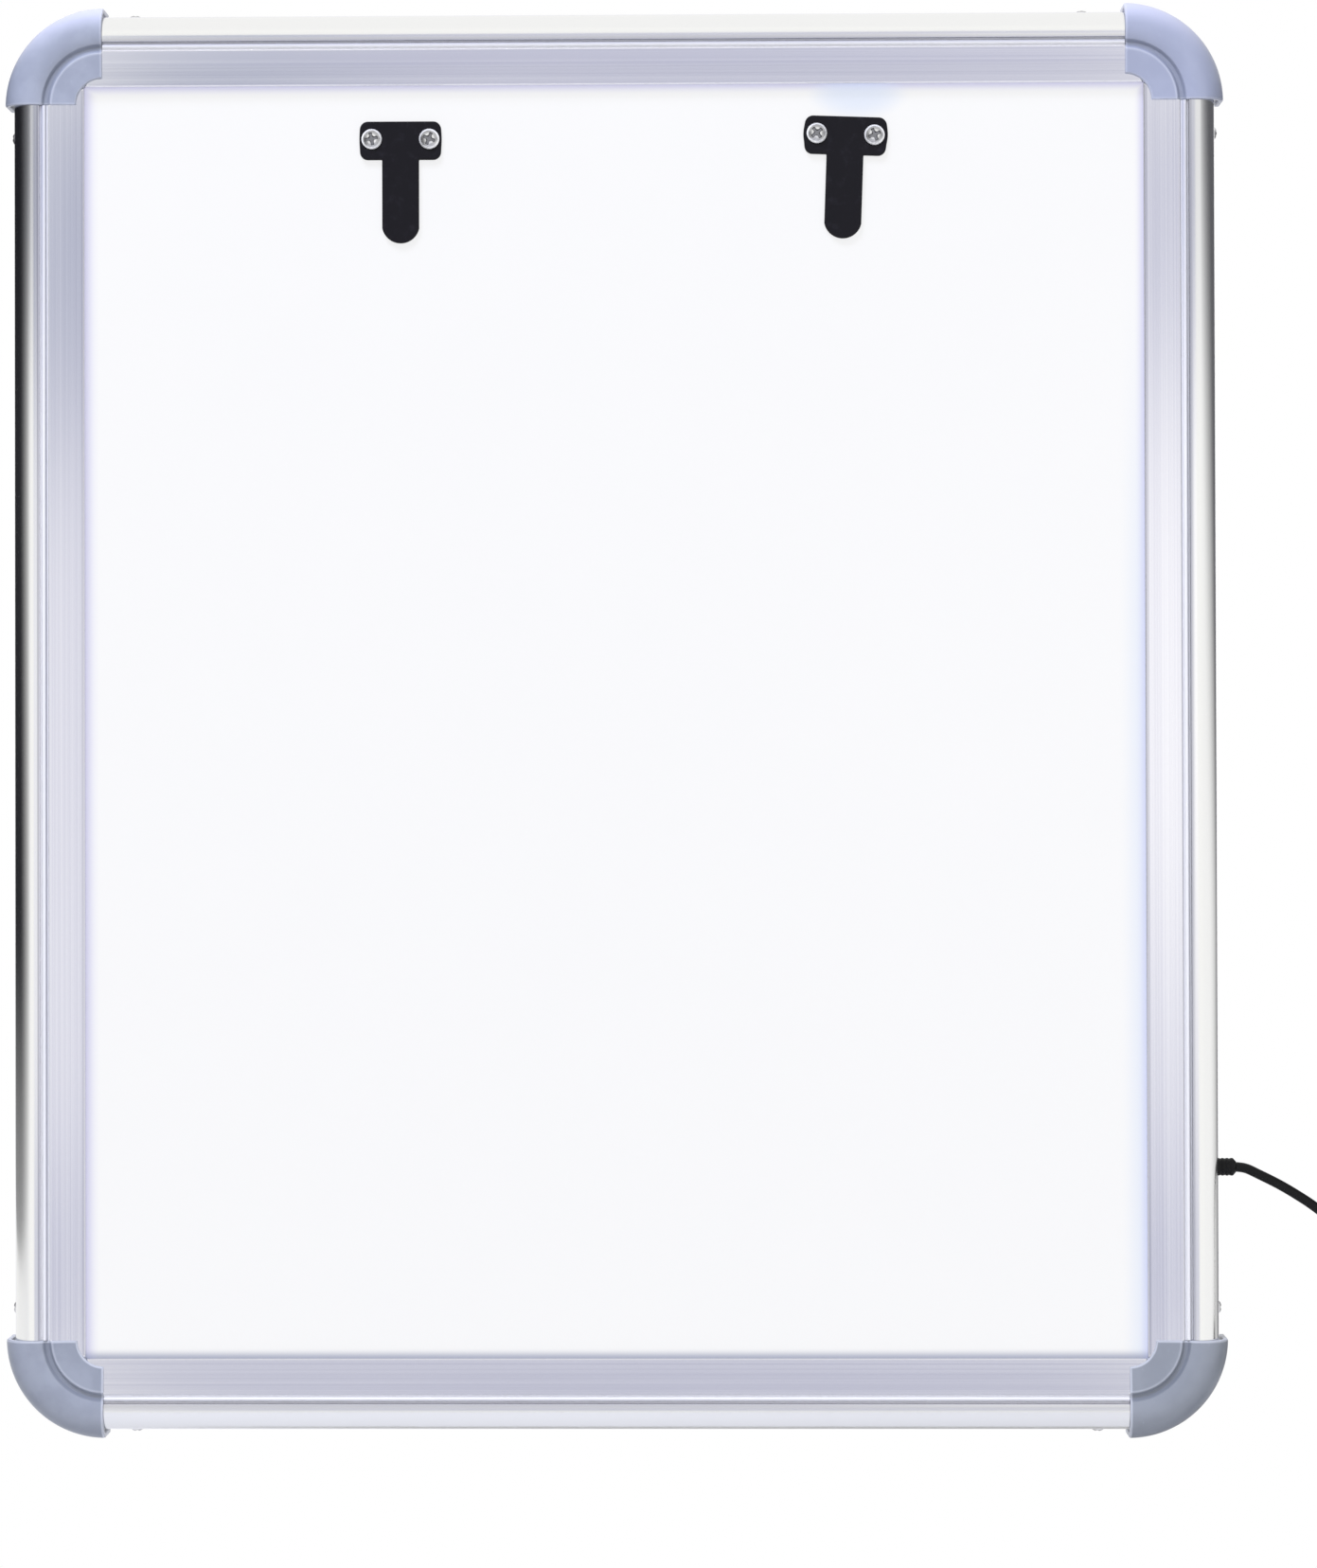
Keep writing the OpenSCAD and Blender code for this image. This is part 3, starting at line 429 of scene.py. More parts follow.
# The opal screen is lit from behind: even over its middle, and painted shade makes it lavender and
# dimmer beside the rails
screenLook = {
    "lit": tone(248, 248, 248),
    "edge": tone(200, 199, 222),
    "cool": tone(208, 222, 248),
    "low": tone(150, 157, 182),
    "sheet": tone(96, 96, 98),
    "sheetEdge": tone(110, 110, 128),
    "glow": 0.83,
    "roughness": 0.32,
    "edgeWide": 3.6,
    "mottleSize": 36.0,
    "mottle": 0.02,
    "patch": (83.0, -18.0),
    "patchSize": (15.0, 7.5),
    "patchShare": 0.6,
    "coolWide": (9, 1),
    "coolHeights": (-60, -220),
    "coolShare": 0.45,
}


def screenFinish():
    look = screenLook
    finish = Finish("opal_acrylic")
    x, _, z = finish.axes()
    right = openingWidth / 2 - x
    left = openingWidth / 2 + x
    top = openingMid + openingHeight / 2 - z
    bottom = z - (openingMid - openingHeight / 2)
    near = right.atMost(left * 0.65).atMost(top)
    rim = near.step(look["edgeWide"], -0.6) ** 1.5
    sill = bottom.step(look["edgeWide"], -0.4) ** 1.3
    mottle = finish.noise(look["mottleSize"], 2.0, 0.5) * look["mottle"]
    # painted shadow: a bluish patch between the right clip and the rail, and a bluish tint beside the right
    # rail's upper part
    (patchX, patchZ), (patchWide, patchTall) = look["patch"], look["patchSize"]
    far = ((x - patchX) / patchWide) ** 2 + ((z - patchZ) / patchTall) ** 2
    cool = right.step(*look["coolWide"]) * z.step(*look["coolHeights"])
    # painted shade: lavender and dimmer beside the rails
    colour = finish.blend(rim, look["lit"], look["edge"])
    colour = finish.blend(far.step(1.5, 0.0) * look["patchShare"], colour, look["cool"])
    colour = finish.blend(cool * look["coolShare"], colour, look["cool"])
    # painted shade along the bottom rail, with a random mottle
    colour = finish.blend(sill * 0.9 + mottle, colour, look["low"])
    grain = finish.noise(0.9, 2.0, 0.5)
    # the sheet's base colour is painted lavender beside the rails too, as painted shade
    return finish.set(
        Base_Color=finish.blend(rim, look["sheet"], look["sheetEdge"]), Emission_Color=colour,
        Emission_Strength=look["glow"], Roughness=grain * 0.08 + look["roughness"],
        Normal=finish.bump(grain, 0.006),
    )


# Black rubber with a faint sheen and dust in its grain
rubberLook = {"black": tone(18, 17, 22), "footShade": tone(40, 39, 46), "roughness": 0.45, "grainDeep": 0.02}


def rubberFinish():
    look = rubberLook
    finish = Finish("clip_rubber")
    grain = finish.noise(0.30, 4.0, 0.65)
    dust = finish.noise(3.5, 4.0, 0.7).step(0.52, 0.72)
    return finish.set(
        Base_Color=finish.blend(dust * 0.35, look["black"], look["footShade"]),
        Roughness=dust * 0.14 + grain * 0.1 + look["roughness"],
        Normal=finish.bump(grain, look["grainDeep"]), Specular_IOR_Level=0.14,
    )


# Nickel plate: a bright rim in painted highlight, a duller ring inside it and painted shade in the recess.
# The head's attribute holds the share of its radius and the depth of the recess
nickelLook = {
    "plate": tone(236, 236, 236),
    "stain": tone(176, 175, 174),
    "ring": tone(138, 138, 142),
    "recessShade": tone(92, 92, 96),
    "rim": tone(250, 250, 250),
    "rimFrom": (0.80, 0.88),
    "ringBand": (0.52, 0.80, 0.05),
    "roughness": 0.22,
}


def nickelFinish():
    look = nickelLook
    finish = Finish("screw_steel")
    scratch = finish.noise((0.5, 0.12, 0.5), 4.0, 0.7)
    stain = finish.noise(1.4, 3.0, 0.6).step(0.45, 0.70)
    head = finish.node("ShaderNodeAttribute", {"attribute_name": "head"}, {}, "Vector")
    out, recess, _ = finish.axes(head)
    rim = out.step(*look["rimFrom"])
    ring = out.band(*look["ringBand"])
    colour = finish.blend(stain * 0.3, look["plate"], look["stain"])
    colour = finish.blend(ring * 0.55, colour, look["ring"])
    # painted shade in the cross recess
    colour = finish.blend(recess.step(0.05, 0.35) * 0.75, colour, look["recessShade"])
    # painted highlight on the rim
    colour = finish.blend(rim * 0.8, colour, look["rim"])
    rough = stain * 0.10 + scratch * 0.12 + ring * 0.1 + look["roughness"]
    return finish.set(
        Base_Color=colour, Metallic=1 - rim * 0.6, Roughness=rough, Normal=finish.bump(scratch, 0.01)
    )


# The cord's sheath and its tie: black vinyl or rubber with a fine matt grain
def vinylFinish(name, dark, pale, rough):
    finish = Finish(name)
    grain = finish.noise(0.4, 3.0, 0.6)
    dust = finish.noise(6.0, 3.0, 0.6).step(0.5, 0.75)
    return finish.set(
        Base_Color=finish.blend(dust * 0.4, dark, pale), Roughness=grain * 0.14 + rough,
        Normal=finish.bump(grain, 0.012), Specular_IOR_Level=0.2,
    )


# The adaptor's case has a spark-eroded grain
def caseFinish():
    finish = Finish("adaptor_plastic")
    grain = finish.noise(0.55, 3.0, 0.7)
    dust = finish.noise(7.0, 4.0, 0.7).step(0.5, 0.8)
    return finish.set(
        Base_Color=finish.blend(dust * 0.3, tone(30, 30, 32), tone(52, 52, 55)), Roughness=grain * 0.2 + 0.44,
        Normal=finish.bump(grain, 0.05),
    )


# Plain fillings for the pieces inside, each with its own grain
def plainFinish(name, colour, second, size, rough):
    finish = Finish(name)
    grain = finish.noise(size, 3.0, 0.6)
    fine = finish.noise(0.5, 2.0, 0.5)
    return finish.set(
        Base_Color=finish.blend(grain.step(0.4, 0.65), colour, second), Roughness=fine * 0.12 + rough,
        Normal=finish.bump(fine, 0.01),
    )


# The light guide carries printed white dots on a square grid
guideLook = {"clear": tone(226, 238, 242), "dot": tone(250, 250, 250), "pitch": 3.0, "dotEdge": (0.06, 0.045)}


def guideFinish():
    look = guideLook
    finish = Finish("clear_acrylic")
    x, _, z = finish.axes()
    across = ((x / look["pitch"]).calc("FRACT") - 0.5) ** 2
    up = ((z / look["pitch"]).calc("FRACT") - 0.5) ** 2
    dot = (across + up).step(*look["dotEdge"])
    return finish.set(
        Base_Color=finish.blend(dot, look["clear"], look["dot"]), Roughness=dot * 0.4 + 0.08,
        Transmission_Weight=0.4,
    )


# Light chips: a white case round a yellow window
chipLook = {"case": tone(240, 240, 236), "window": tone(240, 210, 90), "pitch": 10.0, "middle": -11.0}


def chipFinish():
    look = chipLook
    finish = Finish("light_chip")
    _, y, z = finish.axes()
    along = abs(((z - openingMid) / look["pitch"]).calc("FRACT") - 0.5)
    window = along.step(0.37, 0.40) * abs(y - look["middle"]).step(1.1, 0.95)
    return finish.set(
        Base_Color=finish.blend(window, look["case"], look["window"]), Roughness=window * -0.2 + 0.4,
    )


# The mains pins are nickel plated, and their upper half wears a black sleeve
pinLook = {"plate": tone(214, 212, 204), "sleeve": tone(26, 26, 28), "bare": 9.0, "sleeveEdge": 0.25}


def pinFinish():
    look = pinLook
    finish = Finish("pin_metal")
    z = finish.axes()[2]
    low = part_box("adaptor_pins")[0].z / mm + look["bare"]
    sleeve = z.step(low, low + look["sleeveEdge"])
    fine = finish.noise((0.4, 0.4, 2.0), 3.0, 0.6)
    return finish.set(
        Base_Color=finish.blend(sleeve, look["plate"], look["sleeve"]), Metallic=1.0 - sleeve,
        Roughness=sleeve * 0.25 + fine * 0.12 + 0.16, Normal=finish.bump(fine, 0.008),
    )


finishes = {
    "railAcross": railFinish("rail_aluminium_across", "x"),
    "railUp": railFinish("rail_aluminium_up", "z"),
    "corner": cornerFinish(),
    "screen": screenFinish(),
    "rubber": rubberFinish(),
    "nickel": nickelFinish(),
    "cord": vinylFinish("cord_rubber", tone(7, 7, 8), tone(15, 15, 17), 0.34),
    "tie": vinylFinish("tie_rubber", tone(24, 24, 27), tone(46, 46, 50), 0.62),
    "case": caseFinish(),
    "guide": guideFinish(),
    "chip": chipFinish(),
    "pin": pinFinish(),
    "film": plainFinish("white_film", tone(244, 244, 246), tone(236, 237, 241), 30.0, 0.55),
    "panel": plainFinish("panel_plastic", tone(223, 223, 226), tone(219, 220, 224), 9.0, 0.5),
    "strip": plainFinish("strip_board", tone(238, 238, 230), tone(222, 224, 216), 5.0, 0.35),
    "wire": plainFinish("wire_insulation", tone(176, 24, 22), tone(140, 18, 18), 4.0, 0.35),
    "circuit": plainFinish("circuit_board", tone(22, 106, 58), tone(16, 88, 46), 1.6, 0.3),
    "transformer": plainFinish("transformer_tape", tone(224, 182, 40), tone(196, 152, 24), 2.5, 0.3),
    "capacitor": plainFinish("capacitor_can", tone(34, 40, 52), tone(52, 58, 72), 2.0, 0.3),
}
print("finishes made")


# Points of an arc in a plane, from one angle to another in degrees
def arc(centre, radius, start, end, steps):
    angle = np.radians(np.linspace(start, end, steps + 1))
    return np.stack([centre[0] + radius * np.cos(angle), centre[1] + radius * np.sin(angle)], axis=1)


# Corners given as (x, y, radius) become a closed outline, each corner an arc tangent to both its sides.
# A long side gets a point a little way from each arc, so that smooth shading leaves it flat
def roundedOutline(points, steps=4, pad=0.12):
    points = [tuple(map(float, p)) for p in points]
    places = np.array([p[:2] for p in points])
    ahead = np.roll(places, -1, axis=0) - places
    length = np.linalg.norm(ahead, axis=1)
    ahead /= length[:, None]
    behind = -np.roll(ahead, 1, axis=0)
    half = np.arccos(np.clip(np.sum(ahead * behind, axis=1), -1, 1)) / 2
    reach = np.array([p[2] for p in points]) / np.tan(half)
    spare = length - reach - np.roll(reach, -1)
    made = []
    for k, (x, y, radius) in enumerate(points):
        if radius <= 0:
            made.append(places[k][None])
            continue
        both = ahead[k] + behind[k]
        middle = places[k] + both / np.linalg.norm(both) * radius / math.sin(half[k])
        start, end = places[k] + behind[k] * reach[k] - middle, places[k] + ahead[k] * reach[k] - middle
        sweep = math.pi - 2 * half[k]
        t = np.linspace(0, 1, steps + 1)[:, None]
        if spare[k - 1] > 4 * pad:
            made.append((middle + start + behind[k] * pad)[None])
        made.append(middle + (np.sin((1 - t) * sweep) * start + np.sin(t * sweep) * end) / math.sin(sweep))
        if spare[k] > 4 * pad:
            made.append((middle + end + ahead[k] * pad)[None])
    return np.concatenate(made)


# A small edge's middle ring lies at this share of it
edgeShare = 0.3


# Each point of a closed outline moves inwards by a distance, along the mean of its two sides' normals
def drawnIn(outline, distance):
    before = outline - np.roll(outline, 1, axis=0)
    after = np.roll(outline, -1, axis=0) - outline
    area = np.sum(outline[:, 0] * np.roll(outline[:, 1], -1) - np.roll(outline[:, 0], -1) * outline[:, 1])
    turn = 1.0 if area > 0 else -1.0

    def sideways(v):
        length = np.maximum(np.linalg.norm(v, axis=1, keepdims=True), 1e-9)
        return turn * np.stack([-v[:, 1], v[:, 0]], axis=1) / length

    first, second = sideways(before), sideways(after)
    share = np.maximum(1 + np.sum(first * second, axis=1, keepdims=True), 0.3)
    return outline + distance * (first + second) / share


# Puts vertices and faces in a mesh, turns its faces outwards and marks its sharp edges
def makePiece(name, points, faces, finish, sharp=38.0, body="frame"):
    mesh = bpy.data.meshes.new(name)
    mesh.from_pydata((np.asarray(points, float) * mm).tolist(), [], faces)
    made = addObject(name, mesh)
    smoothMesh(made, sharp)
    mesh.materials.append(finishes[finish])
    if body:
        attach(made, body)
    return made


def smoothMesh(made, sharp):
    work = bmesh.new()
    work.from_mesh(made.data)
    bmesh.ops.remove_doubles(work, verts=work.verts, dist=1e-6)
    bmesh.ops.recalc_face_normals(work, faces=work.faces)
    for face in work.faces:
        face.smooth = True
    work.to_mesh(made.data)
    work.free()
    made.data.set_sharp_from_angle(angle=math.radians(sharp))


# A mesh's points in millimetres
def readPoints(mesh):
    flat = np.empty(len(mesh.vertices) * 3)
    mesh.vertices.foreach_get("co", flat)
    return flat.reshape(-1, 3) / mm


def writePoints(mesh, points):
    mesh.vertices.foreach_set("co", (points * mm).astype(np.float32).ravel())
    mesh.update()


# A flat outline as a ring of points: standing in X and Z at one y, lying in X and Y at one z, or swung
# round the Y axis, with its first column as the radius and its second as the distance forward
def standing(flat, y):
    return np.stack([flat[:, 0], 0 * flat[:, 0] + y, flat[:, 1]], axis=1)


def lying(flat, z):
    return np.stack([flat[:, 0], flat[:, 1], 0 * flat[:, 0] + z], axis=1)


def swung(flat, angle):
    return np.stack([flat[:, 0] * math.cos(angle), -flat[:, 1], flat[:, 0] * math.sin(angle)], axis=1)


# Quads between neighbouring rings of the same length; the rings are closed
def ringFaces(rings, count):
    ring = np.arange(rings - 1)[:, None] * count
    here = np.arange(count)[None]
    ahead = (here + 1) % count
    quads = np.stack([ring + here, ring + ahead, ring + count + ahead, ring + count + here], axis=-1)
    return quads.reshape(-1, 4).tolist()


# Triangles that fill a flat outline, with any holes in it; outlines are arrays of two columns
def fillFaces(outlines):
    loops = [[Vector((p[0], p[1], 0)) for p in outline] for outline in outlines]
    return [list(triangle) for triangle in tessellate_polygon(loops)]


# A solid from rings of one outline. firstFill holds the faces that close its first ring, and lastFill
# those that close its last one, where they differ
def loft(rings, firstFill=(), lastFill=None):
    count = len(rings[0])
    last = (len(rings) - 1) * count
    faces = ringFaces(len(rings), count) + [face[::-1] for face in firstFill]
    faces += [[index + last for index in face] for face in (firstFill if lastFill is None else lastFill)]
    return np.concatenate(rings), faces


# Turns a profile of (radius, height) about Z. The profile starts and ends on the axis
def lathe(profile, steps):
    profile = np.asarray(profile, float)
    angle = np.linspace(0, 2 * math.pi, steps, endpoint=False)
    inner = profile[1:-1]
    points = np.stack([
        inner[:, 0, None] * np.cos(angle), inner[:, 0, None] * np.sin(angle), inner[:, 1, None] + 0 * angle
    ], axis=-1).reshape(-1, 3)
    points = np.concatenate([points, [[0, 0, profile[0, 1]], [0, 0, profile[-1, 1]]]])
    faces = ringFaces(len(inner), steps)
    last = len(points) - 1
    top = (len(inner) - 1) * steps
    faces += [[last - 1, k, (k + 1) % steps] for k in range(steps)]
    faces += [[last, top + (k + 1) % steps, top + k] for k in range(steps)]
    return points, faces


# Cuts solids out of a piece, and takes them away afterwards
def cutFrom(made, cutters, sharp):
    for cutter in cutters:
        modifier = made.modifiers.new("cut", "BOOLEAN")
        modifier.operation = "DIFFERENCE"
        modifier.solver = "EXACT"
        modifier.object = cutter
    graph = bpy.context.evaluated_depsgraph_get()
    result = bpy.data.meshes.new_from_object(made.evaluated_get(graph), depsgraph=graph)
    made.modifiers.clear()
    made.data = result
    for cutter in cutters:
        bpy.data.objects.remove(cutter)
    smoothMesh(made, sharp)


# A point in a side's own axes goes to its place: x runs along the rail and z outwards from the opening
def atSide(points, side):
    points = np.asarray(points, float)
    half = (openingHeight if side % 2 == 0 else openingWidth) / 2
    lifted = points + [0, 0, half]
    angle = math.radians(90 * side)
    turned = np.stack([
        lifted[:, 0] * math.cos(angle) + lifted[:, 2] * math.sin(angle),
        lifted[:, 1],
        lifted[:, 2] * math.cos(angle) - lifted[:, 0] * math.sin(angle),
    ], axis=1)
    return turned + [0, 0, openingMid]


def sideSpan(side):
    return (openingWidth if side % 2 == 0 else openingHeight) - 2 * corner["in"]


# Measures of the rail's section, from its outer face in and from the wall forward. The bead's arc, like
# the corner's dome, ends a few degrees short of its neighbour, which leaves room for a rounded edge
section = {
    "wall": 1.5,
    "boxWidth": 16.5,
    "beadRadius": 7.0,
    "beadWidth": 9.1,
    "grooveWidth": 0.6,
    "ridgeWidth": 1.7,
    "ridgeDrop": 0.7,
    "flatDrop": 1.0,
    "flatFall": 0.8,
    "lip": 1.3,
    "lipBack": 16.5,
    "seat": 5.5,
    "flange": 1.5,
    "flangeIn": 21.0,
    "beadShort": 2,
    "edge": 0.25,
    "backEdge": 0.5,
    "grooveEdge": 0.15,
    "noseEdge": 0.45,
    "cavityEdge": 0.4,
    "endRing": 0.4,
}
corner = {
    "in": cornerIn,
    "proud": 3.2,
    "step": 0.8,
    "skin": 1.8,
    "dome": 9.0,
    "domeShort": 3,
    "groove": 19.0,
    "grooveWidth": 3.0,
    "grooveDeep": 1.1,
    "grooveSlope": 0.9,
    "notch": 8.8,
    "notchEdge": 0.5,
    "gap": 0.1,
    "lipGap": 0.2,
    "endEdge": 0.4,
    "steps": 64,
    "edge": 0.5,
    "noseEdge": 0.6,
    "domeEdge": 0.35,
    "backEdge": 0.45,
    "insideEdge": 0.3,
    "pocketOut": 9.0,
    "overrun": 1.0,
    "hollowDeep": 12.0,
    "hollowWall": 2.4,
    "hollowEdge": 0.8,
    "hollowStarts": (10, 50),
    "hollowSweep": 30,
}


def railOutline():
    s = section
    r = s["beadRadius"]
    crown = railDepth - r
    edge, back = s["edge"], s["backEdge"]
    reach = math.degrees(math.acos((s["beadWidth"] - r) / r))
    beadEnd = crown + r * math.sin(math.radians(reach))
    ridgeV = railDepth - s["ridgeDrop"] - s["ridgeWidth"] / 2
    ridgeU = s["beadWidth"] + s["grooveWidth"] + s["ridgeWidth"] / 2
    flatU = s["beadWidth"] + 2 * s["grooveWidth"] + s["ridgeWidth"]
    flatTop = railDepth - s["flatDrop"]
    flatEnd = flatTop - s["flatFall"]
    bead = [(u, v, 0) for u, v in arc((r, crown), r, 180, reach + s["beadShort"], 36)]
    ridge = [(u, v, 0) for u, v in arc((ridgeU, ridgeV), s["ridgeWidth"] / 2, 180, 0, 14)]
    points = [(0, 0, back)] + bead
    points += [(s["beadWidth"], beadEnd, edge), (s["beadWidth"], ridgeV, s["grooveEdge"])]
    points += ridge + [
        (flatU, ridgeV, s["grooveEdge"]), (flatU, flatTop, edge), (railWidth, flatEnd, s["noseEdge"]),
        (railWidth, s["lipBack"], edge), (railWidth - s["lip"], s["lipBack"], edge),
        (railWidth - s["lip"], flatEnd - s["wall"], edge), (s["boxWidth"], flatEnd - s["wall"], edge),
        (s["boxWidth"], s["seat"], edge), (s["flangeIn"], s["seat"], edge),
        (s["flangeIn"], s["seat"] - s["flange"], edge), (s["boxWidth"], s["seat"] - s["flange"], edge),
        (s["boxWidth"], 0, back),
    ]
    return roundedOutline(points)


def railCavity():
    s = section
    w, r, edge = s["wall"], s["beadRadius"], s["cavityEdge"]
    front = railDepth - s["flatDrop"] - s["flatFall"] - w
    points = [(w, w, edge)] + [(u, v, 0) for u, v in arc((r, railDepth - r), r - w, 180, 90, 16)]
    points += [(r, front, 0), (s["boxWidth"] - w, front, edge), (s["boxWidth"] - w, w, edge)]
    return roundedOutline(points)


# A rail is its section carried along a straight line. Where it reaches a corner's notch, each point of
# the section runs on to the notch's circle: along = end + sqrt(r^2 - out^2)
def railMesh(side):
    outlines = [railOutline(), railCavity()]
    flat = np.concatenate(outlines)
    out = corner["in"] + railWidth - flat[:, 0]
    notch = corner["notch"] - corner["lipGap"]
    reach = np.sqrt(np.maximum(notch ** 2 - out ** 2, 0))
    end = sideSpan(side) / 2 - corner["gap"] + reach
    # a second ring just inside each end keeps the long faces' shading flat
    inside = end - section["endRing"]
    stops = (-end, -inside, inside, end)
    rings = [np.stack([along, -flat[:, 1], railWidth - flat[:, 0]], axis=1) for along in stops]
    count = len(flat)
    faces = []
    start = 0
    for outline in outlines:
        here = np.arange(len(outline)) + start
        ahead = np.roll(here, -1)
        for first in range(0, 3 * count, count):
            faces += (np.stack([here, ahead, ahead + count, here + count], axis=1) + first).tolist()
        start += len(outline)
    caps = fillFaces(outlines)
    faces += [face[::-1] for face in caps] + [[index + 3 * count for index in face] for face in caps]
    return atSide(np.concatenate(rings), side), faces


keyhole = {"pitch": 240.0, "entry": 4.2, "slot": 2.2, "rise": 5.0, "cut": (1.0, -2.5)}


# Cutter of one keyhole: a round entry and a narrower slot above it
def keyholeCutter(x):
    k = keyhole
    lean = math.degrees(math.asin(k["slot"] / k["entry"]))
    entry = arc((0, 0), k["entry"], 90 + lean, 450 - lean, 40)
    top = arc((0, k["rise"]), k["slot"], 0, 180, 18)
    outline = np.concatenate([entry, top])
    points, faces = loft([standing(outline, y) for y in k["cut"]], fillFaces([outline]))
    return makePiece("cutter", points + [x, 0, 0], faces, "panel", body=None)


def makeRails():
    names = ["top_rail", "right_rail", "bottom_rail", "left_rail"]
    for side, node in enumerate(names):
        points, faces = railMesh(side)
        made = makePiece(node + "_metal", points, faces, "railAcross" if side % 2 == 0 else "railUp")
        if side == 0:
            cutFrom(made, [keyholeCutter(sign * keyhole["pitch"] / 2) for sign in (-1, 1)], sharp=38.0)
        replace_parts(made, node)
    print("rails made")


makeRails()


def cornerOutline():
    c = corner
    outer = c["in"] + railWidth + c["proud"]
    core = c["in"] + railWidth
    top = railDepth + c["step"]
    edge = c["edge"]
    domeV, domeR = top - c["dome"], outer - c["dome"]
    band = railDepth - section["flatDrop"] + c["step"]
    bandEdge = band - section["flatFall"]
    inG, outG = c["groove"] - c["grooveWidth"] / 2, c["groove"] + c["grooveWidth"] / 2
    floorV = band - c["grooveDeep"]
    lean = math.degrees(math.acos((outG - domeR) / c["dome"]))
    dome = [(r, v, 0) for r, v in arc((domeR, domeV), c["dome"], lean - c["domeShort"], 0, 36)]
    inside = c["dome"] - c["skin"]
    meet = math.degrees(math.acos((core - domeR) / inside))
    hollow = [(r, v, 0) for r, v in arc((domeR, domeV), inside, 0, meet, 8)]
    points = [
        (c["notch"], 0, edge), (c["notch"], bandEdge - c["notchEdge"], edge),
        (c["notch"] + c["notchEdge"], bandEdge, c["noseEdge"]), (inG, band, edge),
        (inG + c["grooveSlope"], floorV, edge), (outG - c["grooveSlope"], floorV, edge),
        (outG, domeV + c["dome"] * math.sin(math.radians(lean)), c["domeEdge"]),
    ]
    points += dome + [(outer, 0, c["backEdge"]), (outer - c["skin"], 0, c["insideEdge"])]
    points += hollow + [(core, 0, c["insideEdge"])]
    return roundedOutline(points, 5)


# A corner is its section swept a quarter turn. Its first and last rings are drawn in a little, so that
# the end edges are rounded and catch the light
def cornerMesh():
    outline = cornerOutline()
    edge, steps = corner["endEdge"], corner["steps"]
    lean = edge / corner["groove"]
    start = np.array([0, edgeShare, 1]) * lean
    quarter = math.pi / 2
    angles = np.concatenate([start, np.linspace(lean, quarter - lean, steps)[1:-1], quarter - start[::-1]])
    small = np.array([1, edgeShare, 0]) * edge
    inset = np.concatenate([small, np.zeros(steps - 2), small[::-1]])
    rings = [swung(drawnIn(outline, amount), angle) for angle, amount in zip(angles, inset)]
    return loft(rings, fillFaces([drawnIn(outline, edge)]))


# Cutters: the pocket for the sheets' corner, and two hollows moulded into the back
def cornerCutters():
    c = corner
    core = c["in"] + railWidth
    pocket, out = core - section["boxWidth"], -c["pocketOut"]
    square = np.array([(out, out), (pocket, out), (pocket, pocket), (out, pocket)])
    rings = [standing(square, -forward) for forward in (section["seat"], section["lipBack"])]
    cutters = [makePiece("cutter", *loft(rings, [[0, 1, 2, 3]]), "panel", body=None)]
    inner, outer = pocket * math.sqrt(2) + c["hollowWall"], core - c["hollowWall"]
    deep, edge = c["hollowDeep"], c["hollowEdge"]
    behind = -c["overrun"]
    flat = roundedOutline([(inner, behind, 0), (outer, behind, 0), (outer, deep, edge), (inner, deep, edge)])
    for start in c["hollowStarts"]:
        angles = np.radians(np.linspace(start, start + c["hollowSweep"], 13))
        points, faces = loft([swung(flat, angle) for angle in angles], fillFaces([flat]))
        cutters.append(makePiece("cutter", points, faces, "panel", body=None))
    return cutters


def makeCorners():
    master = makePiece("corner_master", *cornerMesh(), "corner", body=None)
    cutFrom(master, cornerCutters(), sharp=34.0)
    local = readPoints(master.data)
    names = ["top_right_corner", "bottom_right_corner", "bottom_left_corner", "top_left_corner"]
    for side, node in enumerate(names):
        made = addObject(node + "_moulding", master.data.copy())
        writePoints(made.data, atSide(local + [sideSpan(side) / 2, 0, -corner["in"]], side))
        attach(made, "frame")
        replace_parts(made, node)
    bpy.data.objects.remove(master)
    print("corners made")


makeCorners()

# Pan-head screws. The edge of a head is points of (inwards, up), from its underside and from its rim
cornerScrew = {
    "head": 5.0, "high": 1.6, "shank": 2.9, "long": 10.0, "arm": 1.55, "armWide": 0.75, "deep": 0.8
}
clipScrew = {
    "head": 6.9, "high": 2.2, "shank": 2.9, "long": 12.0, "arm": 2.1, "armWide": 0.95, "deep": 1.2
}
screwPlaces = {"in": 10.0, "topRightIn": 13.8, "forward": 8.25, "seed": 11}
screwShape = {
    "rimShare": 0.16,
    "underEdge": [(0.15, 0), (0.03, 0.04), (0, 0.14)],
    "rimEdge": [(0, -0.05), (0.03, 0.05)],
    "domeIn": 0.12,
    "tip": 1.2,
    "crossSoft": 0.16,
    "centreSoft": 0.5,
    "centreShare": 1.9,
    "crossFall": 0.45,
    "steps": 96,
    "rings": 34,
}


